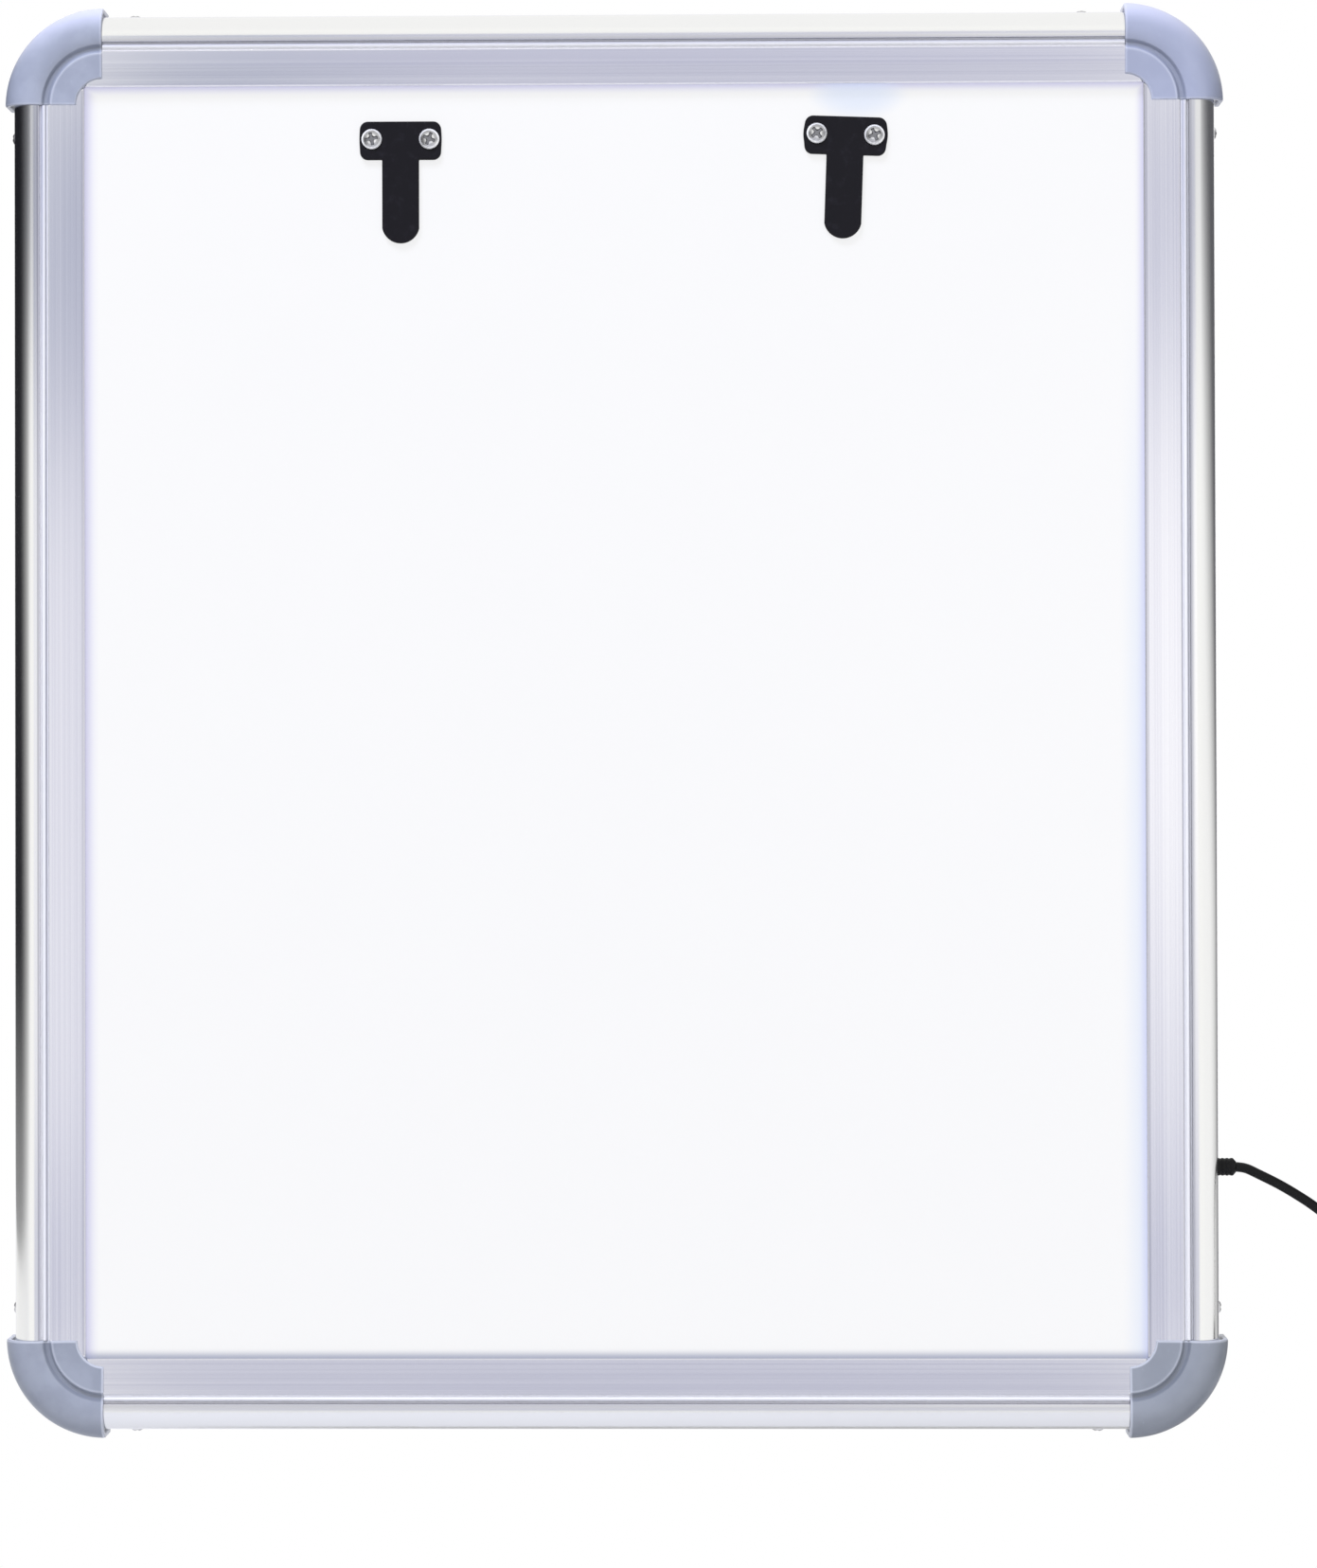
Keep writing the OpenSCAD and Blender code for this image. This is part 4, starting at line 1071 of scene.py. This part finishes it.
# A screw is a lathed profile whose head has a cross pressed into it. The cross is a smooth mask of the
# distance to its arms: depth = deep * mask * (1 - crossFall * (radius / arm)^2)
def screwMesh(sizes, turn):
    s, shape = sizes, screwShape
    radius = s["head"] / 2
    rim = s["high"] * shape["rimShare"]
    rise = s["high"] - rim
    ball = (rise ** 2 + radius ** 2) / (2 * rise)
    shank = s["shank"] / 2
    out = np.linspace(radius - shape["domeIn"], 0, shape["rings"])
    profile = [(0, -s["long"]), (shank * 0.5, -s["long"]), (shank, -s["long"] + shape["tip"]), (shank, 0)]
    profile += [(radius - inward, up) for inward, up in shape["underEdge"]]
    profile += [(radius - inward, rim + up) for inward, up in shape["rimEdge"]]
    profile += list(zip(out, s["high"] - ball + np.sqrt(ball ** 2 - out ** 2)))
    points, faces = lathe(profile, shape["steps"])
    x, y = points[:, 0], points[:, 1]
    angle = math.radians(turn)
    across, along = x * math.cos(angle) + y * math.sin(angle), y * math.cos(angle) - x * math.sin(angle)
    here = np.hypot(x, y)

    def soft(distance, width):
        t = np.clip(0.5 - distance / width, 0, 1)
        return t * t * (3 - 2 * t)

    wide, arm, edge = s["armWide"] / 2, s["arm"], shape["crossSoft"]
    first = soft(np.abs(across) - wide, edge) * soft(np.abs(along) - arm, edge)
    second = soft(np.abs(along) - wide, edge) * soft(np.abs(across) - arm, edge)
    centre = soft(here - wide * shape["centreShare"], shape["centreSoft"])
    mask = np.maximum(np.maximum(first, second), centre)
    deep = s["deep"] * mask * (1 - shape["crossFall"] * (here / arm) ** 2)
    deep = np.where(points[:, 2] > rim, np.maximum(deep, 0), 0)
    points[:, 2] -= deep
    return points, faces, np.stack([here / radius, deep / s["deep"], 0 * deep], axis=1)


# One piece of several screws, whose attribute rides along
def makeScrewSet(name, parts):
    faces, first = [], 0
    for somePoints, someFaces, values in parts:
        faces += [[i + first for i in face] for face in someFaces]
        first += len(somePoints)
    made = makePiece(name, np.concatenate([part[0] for part in parts]), faces, "nickel", sharp=30.0)
    values = np.concatenate([part[2] for part in parts]).astype(np.float32)
    held = made.data.attributes.new("head", "FLOAT_VECTOR", "POINT")
    held.data.foreach_set("vector", values.ravel())
    return made


def makeCornerScrews():
    draw = np.random.default_rng(screwPlaces["seed"])
    parts = []
    for side in range(4):
        for end in (-1, 1):
            inward = screwPlaces["topRightIn"] if (side, end) == (0, 1) else screwPlaces["in"]
            points, faces, values = screwMesh(cornerScrew, draw.uniform(0, 90))
            placed = points + [end * (sideSpan(side) / 2 - inward), -screwPlaces["forward"], railWidth]
            parts.append((atSide(placed, side), faces, values))
    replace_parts(makeScrewSet("corner_screw_set", parts), "corner_screws")
    print("corner screws made")


makeCornerScrews()

# Film clips: one T of soft rubber each. Places are from the middle of the opening and from its top
clip = {
    "barWidth": 27.4,
    "barHeight": 13.0,
    "corner": 2.6,
    "tongueWidth": 12.5,
    "neckEdge": 0.35,
    "length": 41.3,
    "tip": 6.4,
    "thick": 2.0,
    "off": 0.05,
    "edge": 0.5,
    "backEdge": 0.2,
    "screwPitch": 19.5,
    "screwDown": 6.0,
    "screwSunk": 0.16,
    "grid": 1.0,
    "frontFrom": 0.6,
    "dent": 0.28,
    "dentWide": 5.0,
    "bulgeTall": 3.4,
    "bulgeFrom": 9.0,
    "bulgeRun": 4.0,
    "crown": 0.12,
    "crownRun": 4.0,
    "bend": 4.0,
}
clips = [
    {
        "name": "left_clip", "body": "left_tongue", "x": -72.0, "down": 12.0, "lean": 0.0, "bulge": 0.25,
        "cross": (12, 68),
    },
    {
        "name": "right_clip", "body": "right_tongue", "x": 79.0, "down": 11.0, "lean": 2.0, "bulge": 0.6,
        "cross": (40, 25),
    },
]


def clipOutline():
    c = clip
    half, tongue = c["barWidth"] / 2, c["tongueWidth"] / 2
    middle = c["tip"] - c["length"]
    lean = math.degrees(math.asin(tongue / c["tip"]))
    tip = [(x, z, 0) for x, z in arc((0, middle), c["tip"], lean - 90, -90 - lean, 22)]
    points = [(-half, 0, c["corner"]), (half, 0, c["corner"]), (half, -c["barHeight"], c["corner"])]
    points += [(tongue, -c["barHeight"], c["neckEdge"])] + tip + [(-tongue, -c["barHeight"], c["neckEdge"])]
    points += [(-half, -c["barHeight"], c["corner"])]
    return roundedOutline(points, 7)


# Local points of a clip go to its place on the screen: x along its bar, z up, and y forward as negative
def atClip(points, place):
    angle = math.radians(place["lean"])
    x, z = points[:, 0], points[:, 2]
    moved = np.stack([
        x * math.cos(angle) + z * math.sin(angle), points[:, 1], z * math.cos(angle) - x * math.sin(angle)
    ], axis=1)
    return moved + [place["x"], -screenFront, openingMid + openingHeight / 2 - place["down"]]


# The front edge is a quarter circle: inset = edge * (1 - cos a), depth = thick - edge + edge * sin a
def clipMesh():
    c = clip
    outline = clipOutline()
    back = c["backEdge"]
    levels = [(back, c["off"]), (back * edgeShare, c["off"] + back * edgeShare), (0.0, c["off"] + back)]
    for a in np.linspace(0, math.pi / 2, 6):
        levels.append((c["edge"] * (1 - math.cos(a)), c["thick"] - c["edge"] + c["edge"] * math.sin(a)))
    flats = [drawnIn(outline, inset) for inset, depth in levels]
    rings = [standing(flat, -depth) for flat, (inset, depth) in zip(flats, levels)]
    return loft(rings, fillFaces([flats[0]]), fillFaces([flats[-1]]))


# Cuts the rubber into rows and columns, so that it can dent
def cutGrid(mesh):
    c = clip
    reach = math.floor(c["barWidth"] / 2)
    cuts = [((0, 0, z * mm), (0, 0, 1)) for z in np.arange(c["grid"] - c["length"], 0, c["grid"])]
    cuts += [((x * mm, 0, 0), (1, 0, 0)) for x in np.arange(-reach, reach + c["grid"] / 2, c["grid"])]
    work = bmesh.new()
    work.from_mesh(mesh)
    for point, normal in cuts:
        everything = work.verts[:] + work.edges[:] + work.faces[:]
        bmesh.ops.bisect_plane(work, geom=everything, plane_co=point, plane_no=normal, dist=1e-7)
    bmesh.ops.remove_doubles(work, verts=work.verts, dist=1e-6)
    work.to_mesh(mesh)
    work.free()


# The screws squeeze the rubber: it dents by exp(-(away / dentWide)^4) round each head and bulges at the
# bar's ends. The tongue is crowned by a parabola across its width
def pressed(local, bulge):
    c = clip
    x, y, z = local.T
    front = np.clip(-y - c["frontFrom"], 0, 1)
    for sign in (-1, 1):
        away = np.hypot(x - sign * c["screwPitch"] / 2, z + c["screwDown"])
        y = y + c["dent"] * front * np.exp(-(away / c["dentWide"]) ** 4)
        tall = np.exp(-((z + c["screwDown"]) / c["bulgeTall"]) ** 2)
        x = x + sign * bulge * tall * np.clip((sign * x - c["bulgeFrom"]) / c["bulgeRun"], 0, 1)
    below = np.clip(-(z + c["barHeight"]) / c["crownRun"], 0, 1)
    crown = c["crown"] * front * (1 - (x / (c["tongueWidth"] / 2)) ** 2) * below
    return np.stack([x, y - np.maximum(crown, 0), z], axis=1)


def makeClips():
    c = clip
    for place in clips:
        made = makePiece(place["name"] + "_rubber", *clipMesh(), "rubber", sharp=50.0, body=None)
        cutGrid(made.data)
        writePoints(made.data, atClip(pressed(readPoints(made.data), place["bulge"]), place))
        smoothMesh(made, sharp=50.0)
        hinge = np.array([[0, -c["thick"], -c["barHeight"]], [0, -c["thick"], -c["barHeight"] - c["bend"]]])
        start, end = atClip(hinge, place) * mm
        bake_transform(made)
        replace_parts(made, place["name"] + "_bar", place["name"] + "_tongue")
    print("clips made")


makeClips()


def makeClipScrews():
    c = clip
    parts = []
    for place in clips:
        for sign, turn in zip((-1, 1), place["cross"]):
            points, faces, values = screwMesh(clipScrew, turn)
            # the head faces forward, seated in the dent that it presses
            forward = np.stack([points[:, 0], -points[:, 2], points[:, 1]], axis=1)
            forward += [sign * c["screwPitch"] / 2, c["screwSunk"] - c["thick"], -c["screwDown"]]
            parts.append((atClip(forward, place), faces, values))
    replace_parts(makeScrewSet("clip_screw_set", parts), "clip_screws")
    print("clip screws made")


makeClipScrews()

# The cord. Its route repeats the frame's own points, in millimetres from where it leaves the relief
reliefLow, reliefHigh = np.array(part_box("cord_relief")) / mm
cord = {
    "diameter": 3.3,
    "start": (reliefHigh[0], *(reliefLow + reliefHigh)[1:] / 2),
    "lead": [
        (0, 0, 0), (3.5, 0, -0.6), (8, 0, -2.7), (14, 0.2, -5.7), (20, 0.6, -9.2), (26.5, 1, -13.5),
        (34.5, 1.8, -20), (41, 2.6, -27.5), (46, 3.4, -36), (50, 4.2, -45.5), (51.5, 5, -55),
        (52, 5.5, -64), (52, 5.5, -72), (52, 5.5, -80)
    ],
    "tail": [(0, 0, -7), (0, 0, -14), (0, 0, -21), (0, 0, -28)],
    "within": [(0, 0, -36), (0, 0, -44)],
    "midRadius": 18.0,
    "pitch": 3.8,
    "layers": 4,
    "turns": 3,
    "steps": 36,
    "sides": 16,
}


# The coil spirals in and out at a steady rate and climbs a layer in the half turn round each reversal
def coilPoints(start):
    turns, layers, pitch = cord["turns"], cord["layers"], cord["pitch"]
    outer = cord["midRadius"] + pitch * turns / 2
    t = np.linspace(0, turns * layers, turns * layers * cord["steps"] + 1)
    leg = np.minimum(np.floor(t / turns), layers - 1)
    along = t - leg * turns
    inward = np.where(leg % 2 == 0, along, turns - along)
    radius = outer - pitch * inward
    climbs = np.zeros_like(t)
    for n in range(1, layers):
        share = np.clip(2 * (t - n * turns) + 0.5, 0, 1)
        climbs += (1 - np.cos(math.pi * share)) / 2
    angle = math.pi + 2 * math.pi * t
    x = start[0] + outer + radius * np.cos(angle)
    z = start[2] - cord["diameter"] + radius * np.sin(angle)
    return np.stack([x, start[1] - pitch * climbs, z], axis=1)


# A smooth curve through points: each stretch is a cubic with the chord slopes of its neighbours
def smoothed(points, steps=6):
    points = np.asarray(points, float)
    slopes = np.gradient(points, axis=0)
    t = np.linspace(0, 1, steps, endpoint=False)[None, :, None]
    a, b = points[:-1, None], points[1:, None]
    m, n = slopes[:-1, None], slopes[1:, None]
    curve = (2 * t**3 - 3 * t**2 + 1) * a + (t**3 - 2 * t**2 + t) * m
    curve = curve + (3 * t**2 - 2 * t**3) * b + (t**3 - t**2) * n
    return np.concatenate([curve.reshape(-1, 3), points[-1:]])


# A tube round a path: at each point two directions square to the path, carried on with no twist
def tubeRings(path, radius, sides):
    path = np.asarray(path, float)
    ahead = np.gradient(path, axis=0)
    ahead /= np.linalg.norm(ahead, axis=1, keepdims=True)
    side = np.empty_like(path)
    side[0] = np.cross(ahead[0], (0, 1, 0))
    side[0] /= np.linalg.norm(side[0])
    for k in range(1, len(path)):
        carried = side[k - 1] - ahead[k] * (side[k - 1] @ ahead[k])
        side[k] = carried / np.linalg.norm(carried)
    up = np.cross(ahead, side)
    angle = np.linspace(0, 2 * math.pi, sides, endpoint=False)
    angle = angle[None, :, None]
    reach = radius * (np.cos(angle) * side[:, None] + np.sin(angle) * up[:, None])
    return (path[:, None] + reach).reshape(-1, 3)


def makeCord():
    start = np.array(cord["start"])
    lead = smoothed(start + np.array(cord["lead"]))
    coilStart = start + np.array(cord["lead"][-1])
    coil = coilPoints(coilStart)
    low = coil[-1] - [0, 0, cord["diameter"]]
    tail = low + np.array(cord["tail"])
    # it runs on through the adaptor's relief, into the case
    path = np.concatenate([lead, coil, [low], tail, low + np.array(cord["within"])])
    points = tubeRings(path, cord["diameter"] / 2, cord["sides"])
    faces = ringFaces(len(path), cord["sides"])
    last = (len(path) - 1) * cord["sides"]
    faces += [list(range(cord["sides"]))[::-1], [last + k for k in range(cord["sides"])]]
    made = makePiece("cord_sheath", points, faces, "cord", sharp=50.0)
    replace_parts(made, "cord_lead", "cord_coil", "cord_tail")
    length = float(np.sum(np.linalg.norm(np.diff(path, axis=0), axis=1)))
    print("cord made,", round(length), "mm long")
    return made, path, length, tail[-1]


cordPiece, cordPath, cordLength, adaptorTop = makeCord()


# A profile of (radius, height) from the foot up, with ribs: grooves of even width cut round it
def ribbed(high, radiusAt, ribs, deep):
    step = high / (2 * ribs + 1)
    soft = 0.18 * step
    points = []
    for k in range(2 * ribs + 1):
        a, b = k * step, (k + 1) * step
        drop = deep if k % 2 else 0
        points += [(radiusAt(a + soft) - drop, a + soft), (radiusAt(b - soft) - drop, b - soft)]
    return points


relief = {
    "diameter": 6.0,
    "long": 6.4,
    "cone": 1.2,
    "neck": 4.8,
    "ribs": 3,
    "deep": 0.16,
    "lip": 1.2,
    "behind": 1.6,
    "cordGap": 0.12,
    "shoulder": [(0, 0.05), (0.12, 0.22)],
    "mouthEdge": (0.12, 0.08),
    "steps": 48,
}


def makeRelief():
    r = relief
    half = r["diameter"] / 2
    mouth = cord["diameter"] / 2 + r["cordGap"]
    barrel = r["long"] - r["cone"]
    profile = [(0, -r["behind"] - r["lip"]), (half, -r["behind"] - r["lip"]), (half, -r["behind"])]
    profile += [(r["neck"] / 2, -r["behind"]), (r["neck"] / 2, 0), (half, 0)]
    profile += ribbed(barrel, lambda up: half, r["ribs"], r["deep"])
    profile += [(half - inward, barrel + up) for inward, up in r["shoulder"]]
    inward, down = r["mouthEdge"]
    profile += [(mouth + inward, r["long"] - down), (mouth, r["long"]), (0, r["long"])]
    points, faces = lathe(profile, r["steps"])
    placed = np.stack([points[:, 2], -points[:, 1], points[:, 0]], axis=1)
    placed = placed + [rightBox[1].x / mm, *cord["start"][1:]]
    made = makePiece("cord_relief_moulding", placed, faces, "cord", sharp=34.0)
    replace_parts(made, "cord_relief")


taper = {
    "long": 14.0,
    "base": 8.4,
    "end": 4.9,
    "ribs": 4,
    "deep": 0.5,
    "neck": 5.4,
    "below": 4.1,
    "mouthEdge": 0.1,
    "steps": 48,
}


def makeTaper():
    t = taper

    def radiusAt(up):
        return (t["base"] + (t["end"] - t["base"]) * up / t["long"]) / 2

    profile = [(0, -t["below"]), (t["neck"] / 2, -t["below"]), (t["neck"] / 2, 0), (t["base"] / 2, 0)]
    profile += ribbed(t["long"], radiusAt, t["ribs"], t["deep"])
    profile += [(t["end"] / 2 - t["mouthEdge"], t["long"]), (0, t["long"])]
    points, faces = lathe(profile, t["steps"])
    placed = points + adaptorTop - [0, 0, t["long"]]
    made = makePiece("adaptor_relief_moulding", placed, faces, "cord", sharp=34.0)
    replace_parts(made, "adaptor_relief")
    return made


# Outline of a rounded rectangle about the origin
def plateOutline(width, depth, radius, steps=8):
    x, y = width / 2, depth / 2
    return roundedOutline([(-x, -y, radius), (x, -y, radius), (x, y, radius), (-x, y, radius)], steps)


# A rounded block: rings of one outline, each drawn in by an amount at its height
def blockMesh(outline, levels):
    rings = [lying(drawnIn(outline, inset), height) for inset, height in levels]
    return loft(rings, fillFaces([rings[0][:, :2]]), fillFaces([rings[-1][:, :2]]))


# A frame node's width, depth and height, and the middle of its foot, in millimetres
def nodeSize(node):
    low, high = np.array(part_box(node)) / mm
    middle = (low + high) / 2
    return *(high - low), np.array([middle[0], middle[1], low[2]])


# Levels of a quarter-circle edge between two heights
def roundEdge(inset, height, radius, up, steps=5):
    a = np.linspace(0, math.pi / 2, steps + 1)
    if up:
        return [(inset + radius * (1 - math.cos(t)), height - radius + radius * math.sin(t)) for t in a]
    return [(inset + radius * (1 - math.cos(t)), height + radius - radius * math.sin(t)) for t in a[::-1]]


adaptor = {
    "radius": 5.0,
    "step": 2.0,
    "wall": 2.0,
    "edge": 1.2,
    "topEdge": 0.8,
    "footEdge": 0.9,
    "seam": 0.35,
    "cover": 3.0,
}


def makeAdaptor():
    a = adaptor
    width, depth, height, foot = nodeSize("adaptor_case")
    outline = plateOutline(width, depth, a["radius"])
    shoulder = height - a["step"]
    levels = [(a["wall"], 0.0), (a["seam"], 0.0), (0.0, a["seam"])]
    levels += roundEdge(0, shoulder, a["edge"], True) + [(a["step"], shoulder)]
    levels += roundEdge(a["step"], height, a["topEdge"], True)
    points, faces = blockMesh(outline, levels)
    case = makePiece("adaptor_case_moulding", points + foot, faces, "case", sharp=34.0)
    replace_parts(case, "adaptor_case")
    levels = roundEdge(0, -a["cover"], a["footEdge"], False) + [(0.0, -a["seam"]), (a["seam"], 0.0)]
    points, faces = blockMesh(outline, levels)
    cover = makePiece("adaptor_cover_moulding", points + foot, faces, "case", sharp=34.0)
    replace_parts(cover, "adaptor_cover")
    return [case, cover]


# The tie is a band bent into a closed loop: its inner and outer faces are rings of one outline
tie = {"thick": 1.0, "edge": 0.3, "round": 1.35}


def makeTie():
    width, depth, height, foot = nodeSize("cord_tie")
    outline = plateOutline(width, depth, tie["round"])
    e, thick = tie["edge"], tie["thick"]
    levels = [(e, 0.0), (0.0, e), (0.0, height - e), (e, height)]
    levels += [(thick - inset, up) for inset, up in levels[::-1]]
    levels.append(levels[0])
    points, faces = loft([lying(drawnIn(outline, inset), up) for inset, up in levels])
    made = makePiece("cord_tie_band", points + foot, faces, "tie", sharp=34.0)
    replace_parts(made, "cord_tie")
    return made


makeRelief()
taperPiece = makeTaper()
adaptorPieces = makeAdaptor()
tiePiece = makeTie()
tuple(cordPath[0] * mm)
cordLength * mm
cord["diameter"] * mm
(cordPath * mm).tolist()
print("cord's pieces made")


# The frame's own nodes that show or lie inside take their finishes
def dressNodes():
    dress = {
        "diffuser_screen": "screen", "light_guide": "guide", "reflector_sheet": "film", "back_panel": "panel",
        "right_led_board": "strip", "left_led_board": "strip", "right_led_chips": "chip",
        "left_led_chips": "chip", "supply_wires": "wire", "jumper_wires": "wire", "adaptor_pins": "pin",
        "adaptor_circuit": "circuit", "adaptor_transformer": "transformer", "adaptor_capacitor": "capacitor",
    }
    for node, finish in dress.items():
        slots = nodes[node].data.materials
        if len(slots):
            nodes[node].material_slots[0].material = finishes[finish]
        else:
            slots.append(finishes[finish])
    print("nodes dressed")


dressNodes()

# Soft studio light, a pale floor and a white background
studio = {
    "world": 0.44,
    "floorDown": 60.0,
    "floorSize": 1500.0,
    "floorNearShare": 0.8,
    "floorFarShare": 0.5,
    "floorCloud": 180.0,
    "floorTones": ((0.80, 0.80, 0.80), (0.84, 0.84, 0.84)),
    "lamps": [
        {
            "name": "key", "place": (-450, -950, 1200), "aim": (0, 0, -100), "size": (700, 500), "watts": 31,
            "colour": (0.91, 0.94, 1.10),
        },
        {
            "name": "fill", "place": (900, -1700, -100), "aim": (0, 0, -250), "size": (800, 1200), "watts": 6,
            "colour": (1, 1, 1),
        },
        {
            "name": "behind", "place": (-400, 1500, -120), "aim": (0, 0, -230), "size": (1000, 1000),
            "watts": 14, "colour": (1, 1, 1),
        },
    ],
    "darkFlag": {
        "corner": (-420, -595, 120), "opposite": (-420, 700, -430), "tone": (0.022, 0.022, 0.026),
        "front": (-100, -600), "frontHeights": (60, -110),
        "side": (-20, -200), "sideHeights": (0, -200), "foot": (-300, -440),
    },
    "greyFlag": {
        "corner": (620, -600, 130), "opposite": (620, 900, -760), "tone": (0.13, 0.13, 0.14),
        "middle": (-130, -116), "slope": 2.0, "lowest": -190, "run": (450, -450),
    },
    "frontCard": {
        "corner": (-600, -600, 420), "opposite": (600, -600, -900), "wall": (1.03, 1.03, 1.02),
        "window": (0.63, 0.64, 0.76), "bright": (1.26, 1.25, 1.24), "dull": (0.52, 0.55, 0.66),
        "sides": (262, 228), "top": (82, 54), "foot": (-548, -512),
        "brightTop": (-20, -150), "brightFoot": (-460, -390),
        "rightTop": (20, -100), "rightFoot": (-370, -270), "rightFrom": (60, 180),
        "leftFrom": (-90, -200), "leftTop": (-150, -20), "brightShare": 0.45,
    },
}


def makeWorld():
    world = bpy.data.worlds.new("studio")
    bpy.context.scene.world = world
    world.use_nodes = True
    tree = world.node_tree
    tree.nodes.clear()
    rays = addNode(tree, "ShaderNodeLightPath", {}, {}).outputs
    seen = Signal(tree, rays["Is Camera Ray"]).atLeast(Signal(tree, rays["Is Glossy Ray"]))
    seen = seen.atLeast(Signal(tree, rays["Is Transmission Ray"]))
    strength = seen * (1 - studio["world"]) + studio["world"]
    light = addNode(tree, "ShaderNodeBackground", {}, {0: (1, 1, 1), 1: strength})
    addNode(tree, "ShaderNodeOutputWorld", {}, {0: Signal(tree, light.outputs[0])})


# A lamp aimed at a point, in millimetres. Reflections don't see it
def makeLamp(lamp):
    data = bpy.data.lights.new(lamp["name"], "AREA")
    data.shape = "RECTANGLE"
    data.size, data.size_y = (length * mm for length in lamp["size"])
    data.energy = lamp["watts"]
    data.color = lamp["colour"]
    made = addObject(lamp["name"], data)
    made.location = Vector(lamp["place"]) * mm
    made.rotation_euler = (Vector(lamp["aim"]) - Vector(lamp["place"])).to_track_quat("-Z", "Y").to_euler()
    made.visible_glossy = False


# A flat sheet through four points, which only stages the object
def makeSheet(name, points, finish):
    mesh = bpy.data.meshes.new(name)
    mesh.from_pydata((np.asarray(points, float) * mm).tolist(), [], [[0, 1, 2, 3]])
    mesh.materials.append(finish.material)
    made = addObject(name, mesh)
    return made


# An upright card that only reflections see: it darkens or tints what the metal mirrors. Its colour is a
# function of its place in millimetres
def makeCard(name, card, paint):
    (x, y, top), (farX, farY, foot) = card["corner"], card["opposite"]
    finish = Finish(name, "ShaderNodeEmission")
    finish.set(Color=paint(finish, card))
    made = makeSheet(name, [(x, y, top), (farX, farY, top), (farX, farY, foot), (x, y, foot)], finish)
    made.visible_camera = False
    made.visible_diffuse = False
    made.visible_shadow = False
    made.visible_transmission = False


# Beside the left rail: black, lighter towards its front edge and its foot
def darkFlag(finish, card):
    _, y, z = finish.axes()
    front = y.step(*card["front"]) * (z.step(*card["frontHeights"]) * 0.6 + 0.3)
    side = y.step(*card["side"]) * (z.step(*card["sideHeights"]) * 0.1 + 0.1)
    share = front + side + z.step(*card["foot"]) * 0.3
    return finish.blend(share, card["tone"], (1.0, 1.0, 1.0))


# Beside the right rail: grey, turning pale towards its front edge. The pale part reaches further back
# towards the foot, until it stays the same below a lowest height, which counts from the middle
def greyFlag(finish, card):
    _, y, z = finish.axes()
    middleY, middleZ = card["middle"]
    slanting = y - middleY + (z - middleZ).atLeast(card["lowest"]) * card["slope"]
    return finish.blend(slanting.step(*card["run"]), card["tone"], (1.0, 1.0, 1.0))


# In front: a lavender-grey window as large as the viewer, brighter half way down and towards the right,
# and duller at its upper left
def frontCard(finish, card):
    x, _, z = finish.axes()
    inside = abs(x).step(*card["sides"]) * z.step(*card["top"]) * z.step(*card["foot"])
    middle = z.step(*card["brightTop"]) * z.step(*card["brightFoot"])
    right = z.step(*card["rightTop"]) * z.step(*card["rightFoot"]) * x.step(*card["rightFrom"])
    level = (middle + right) * card["brightShare"]
    dim = 1 - x.step(*card["leftFrom"]) * z.step(*card["leftTop"])
    window = finish.blend(level, card["window"], card["bright"])
    window = finish.blend(dim, card["dull"], window)
    return finish.blend(inside, card["wall"], window)


def makeStudio():
    makeWorld()
    low = cadBox[0][2] / mm - studio["floorDown"]
    side = studio["floorSize"]
    near, far = -side * studio["floorNearShare"], side * studio["floorFarShare"]
    finish = Finish("floor")
    cloud = finish.noise(studio["floorCloud"])
    finish.set(Base_Color=finish.blend(cloud, *studio["floorTones"]), Roughness=0.7)
    makeSheet("floor", [(-side, near, low), (side, near, low), (side, far, low), (-side, far, low)], finish)
    for lamp in studio["lamps"]:
        makeLamp(lamp)
    makeCard("dark_flag", studio["darkFlag"], darkFlag)
    makeCard("grey_flag", studio["greyFlag"], greyFlag)
    makeCard("front_card", studio["frontCard"], frontCard)
    print("studio made")


makeStudio()
bpy.context.scene.view_settings.view_transform = "Standard"
bpy.context.view_layer.update()
print("scene ready")
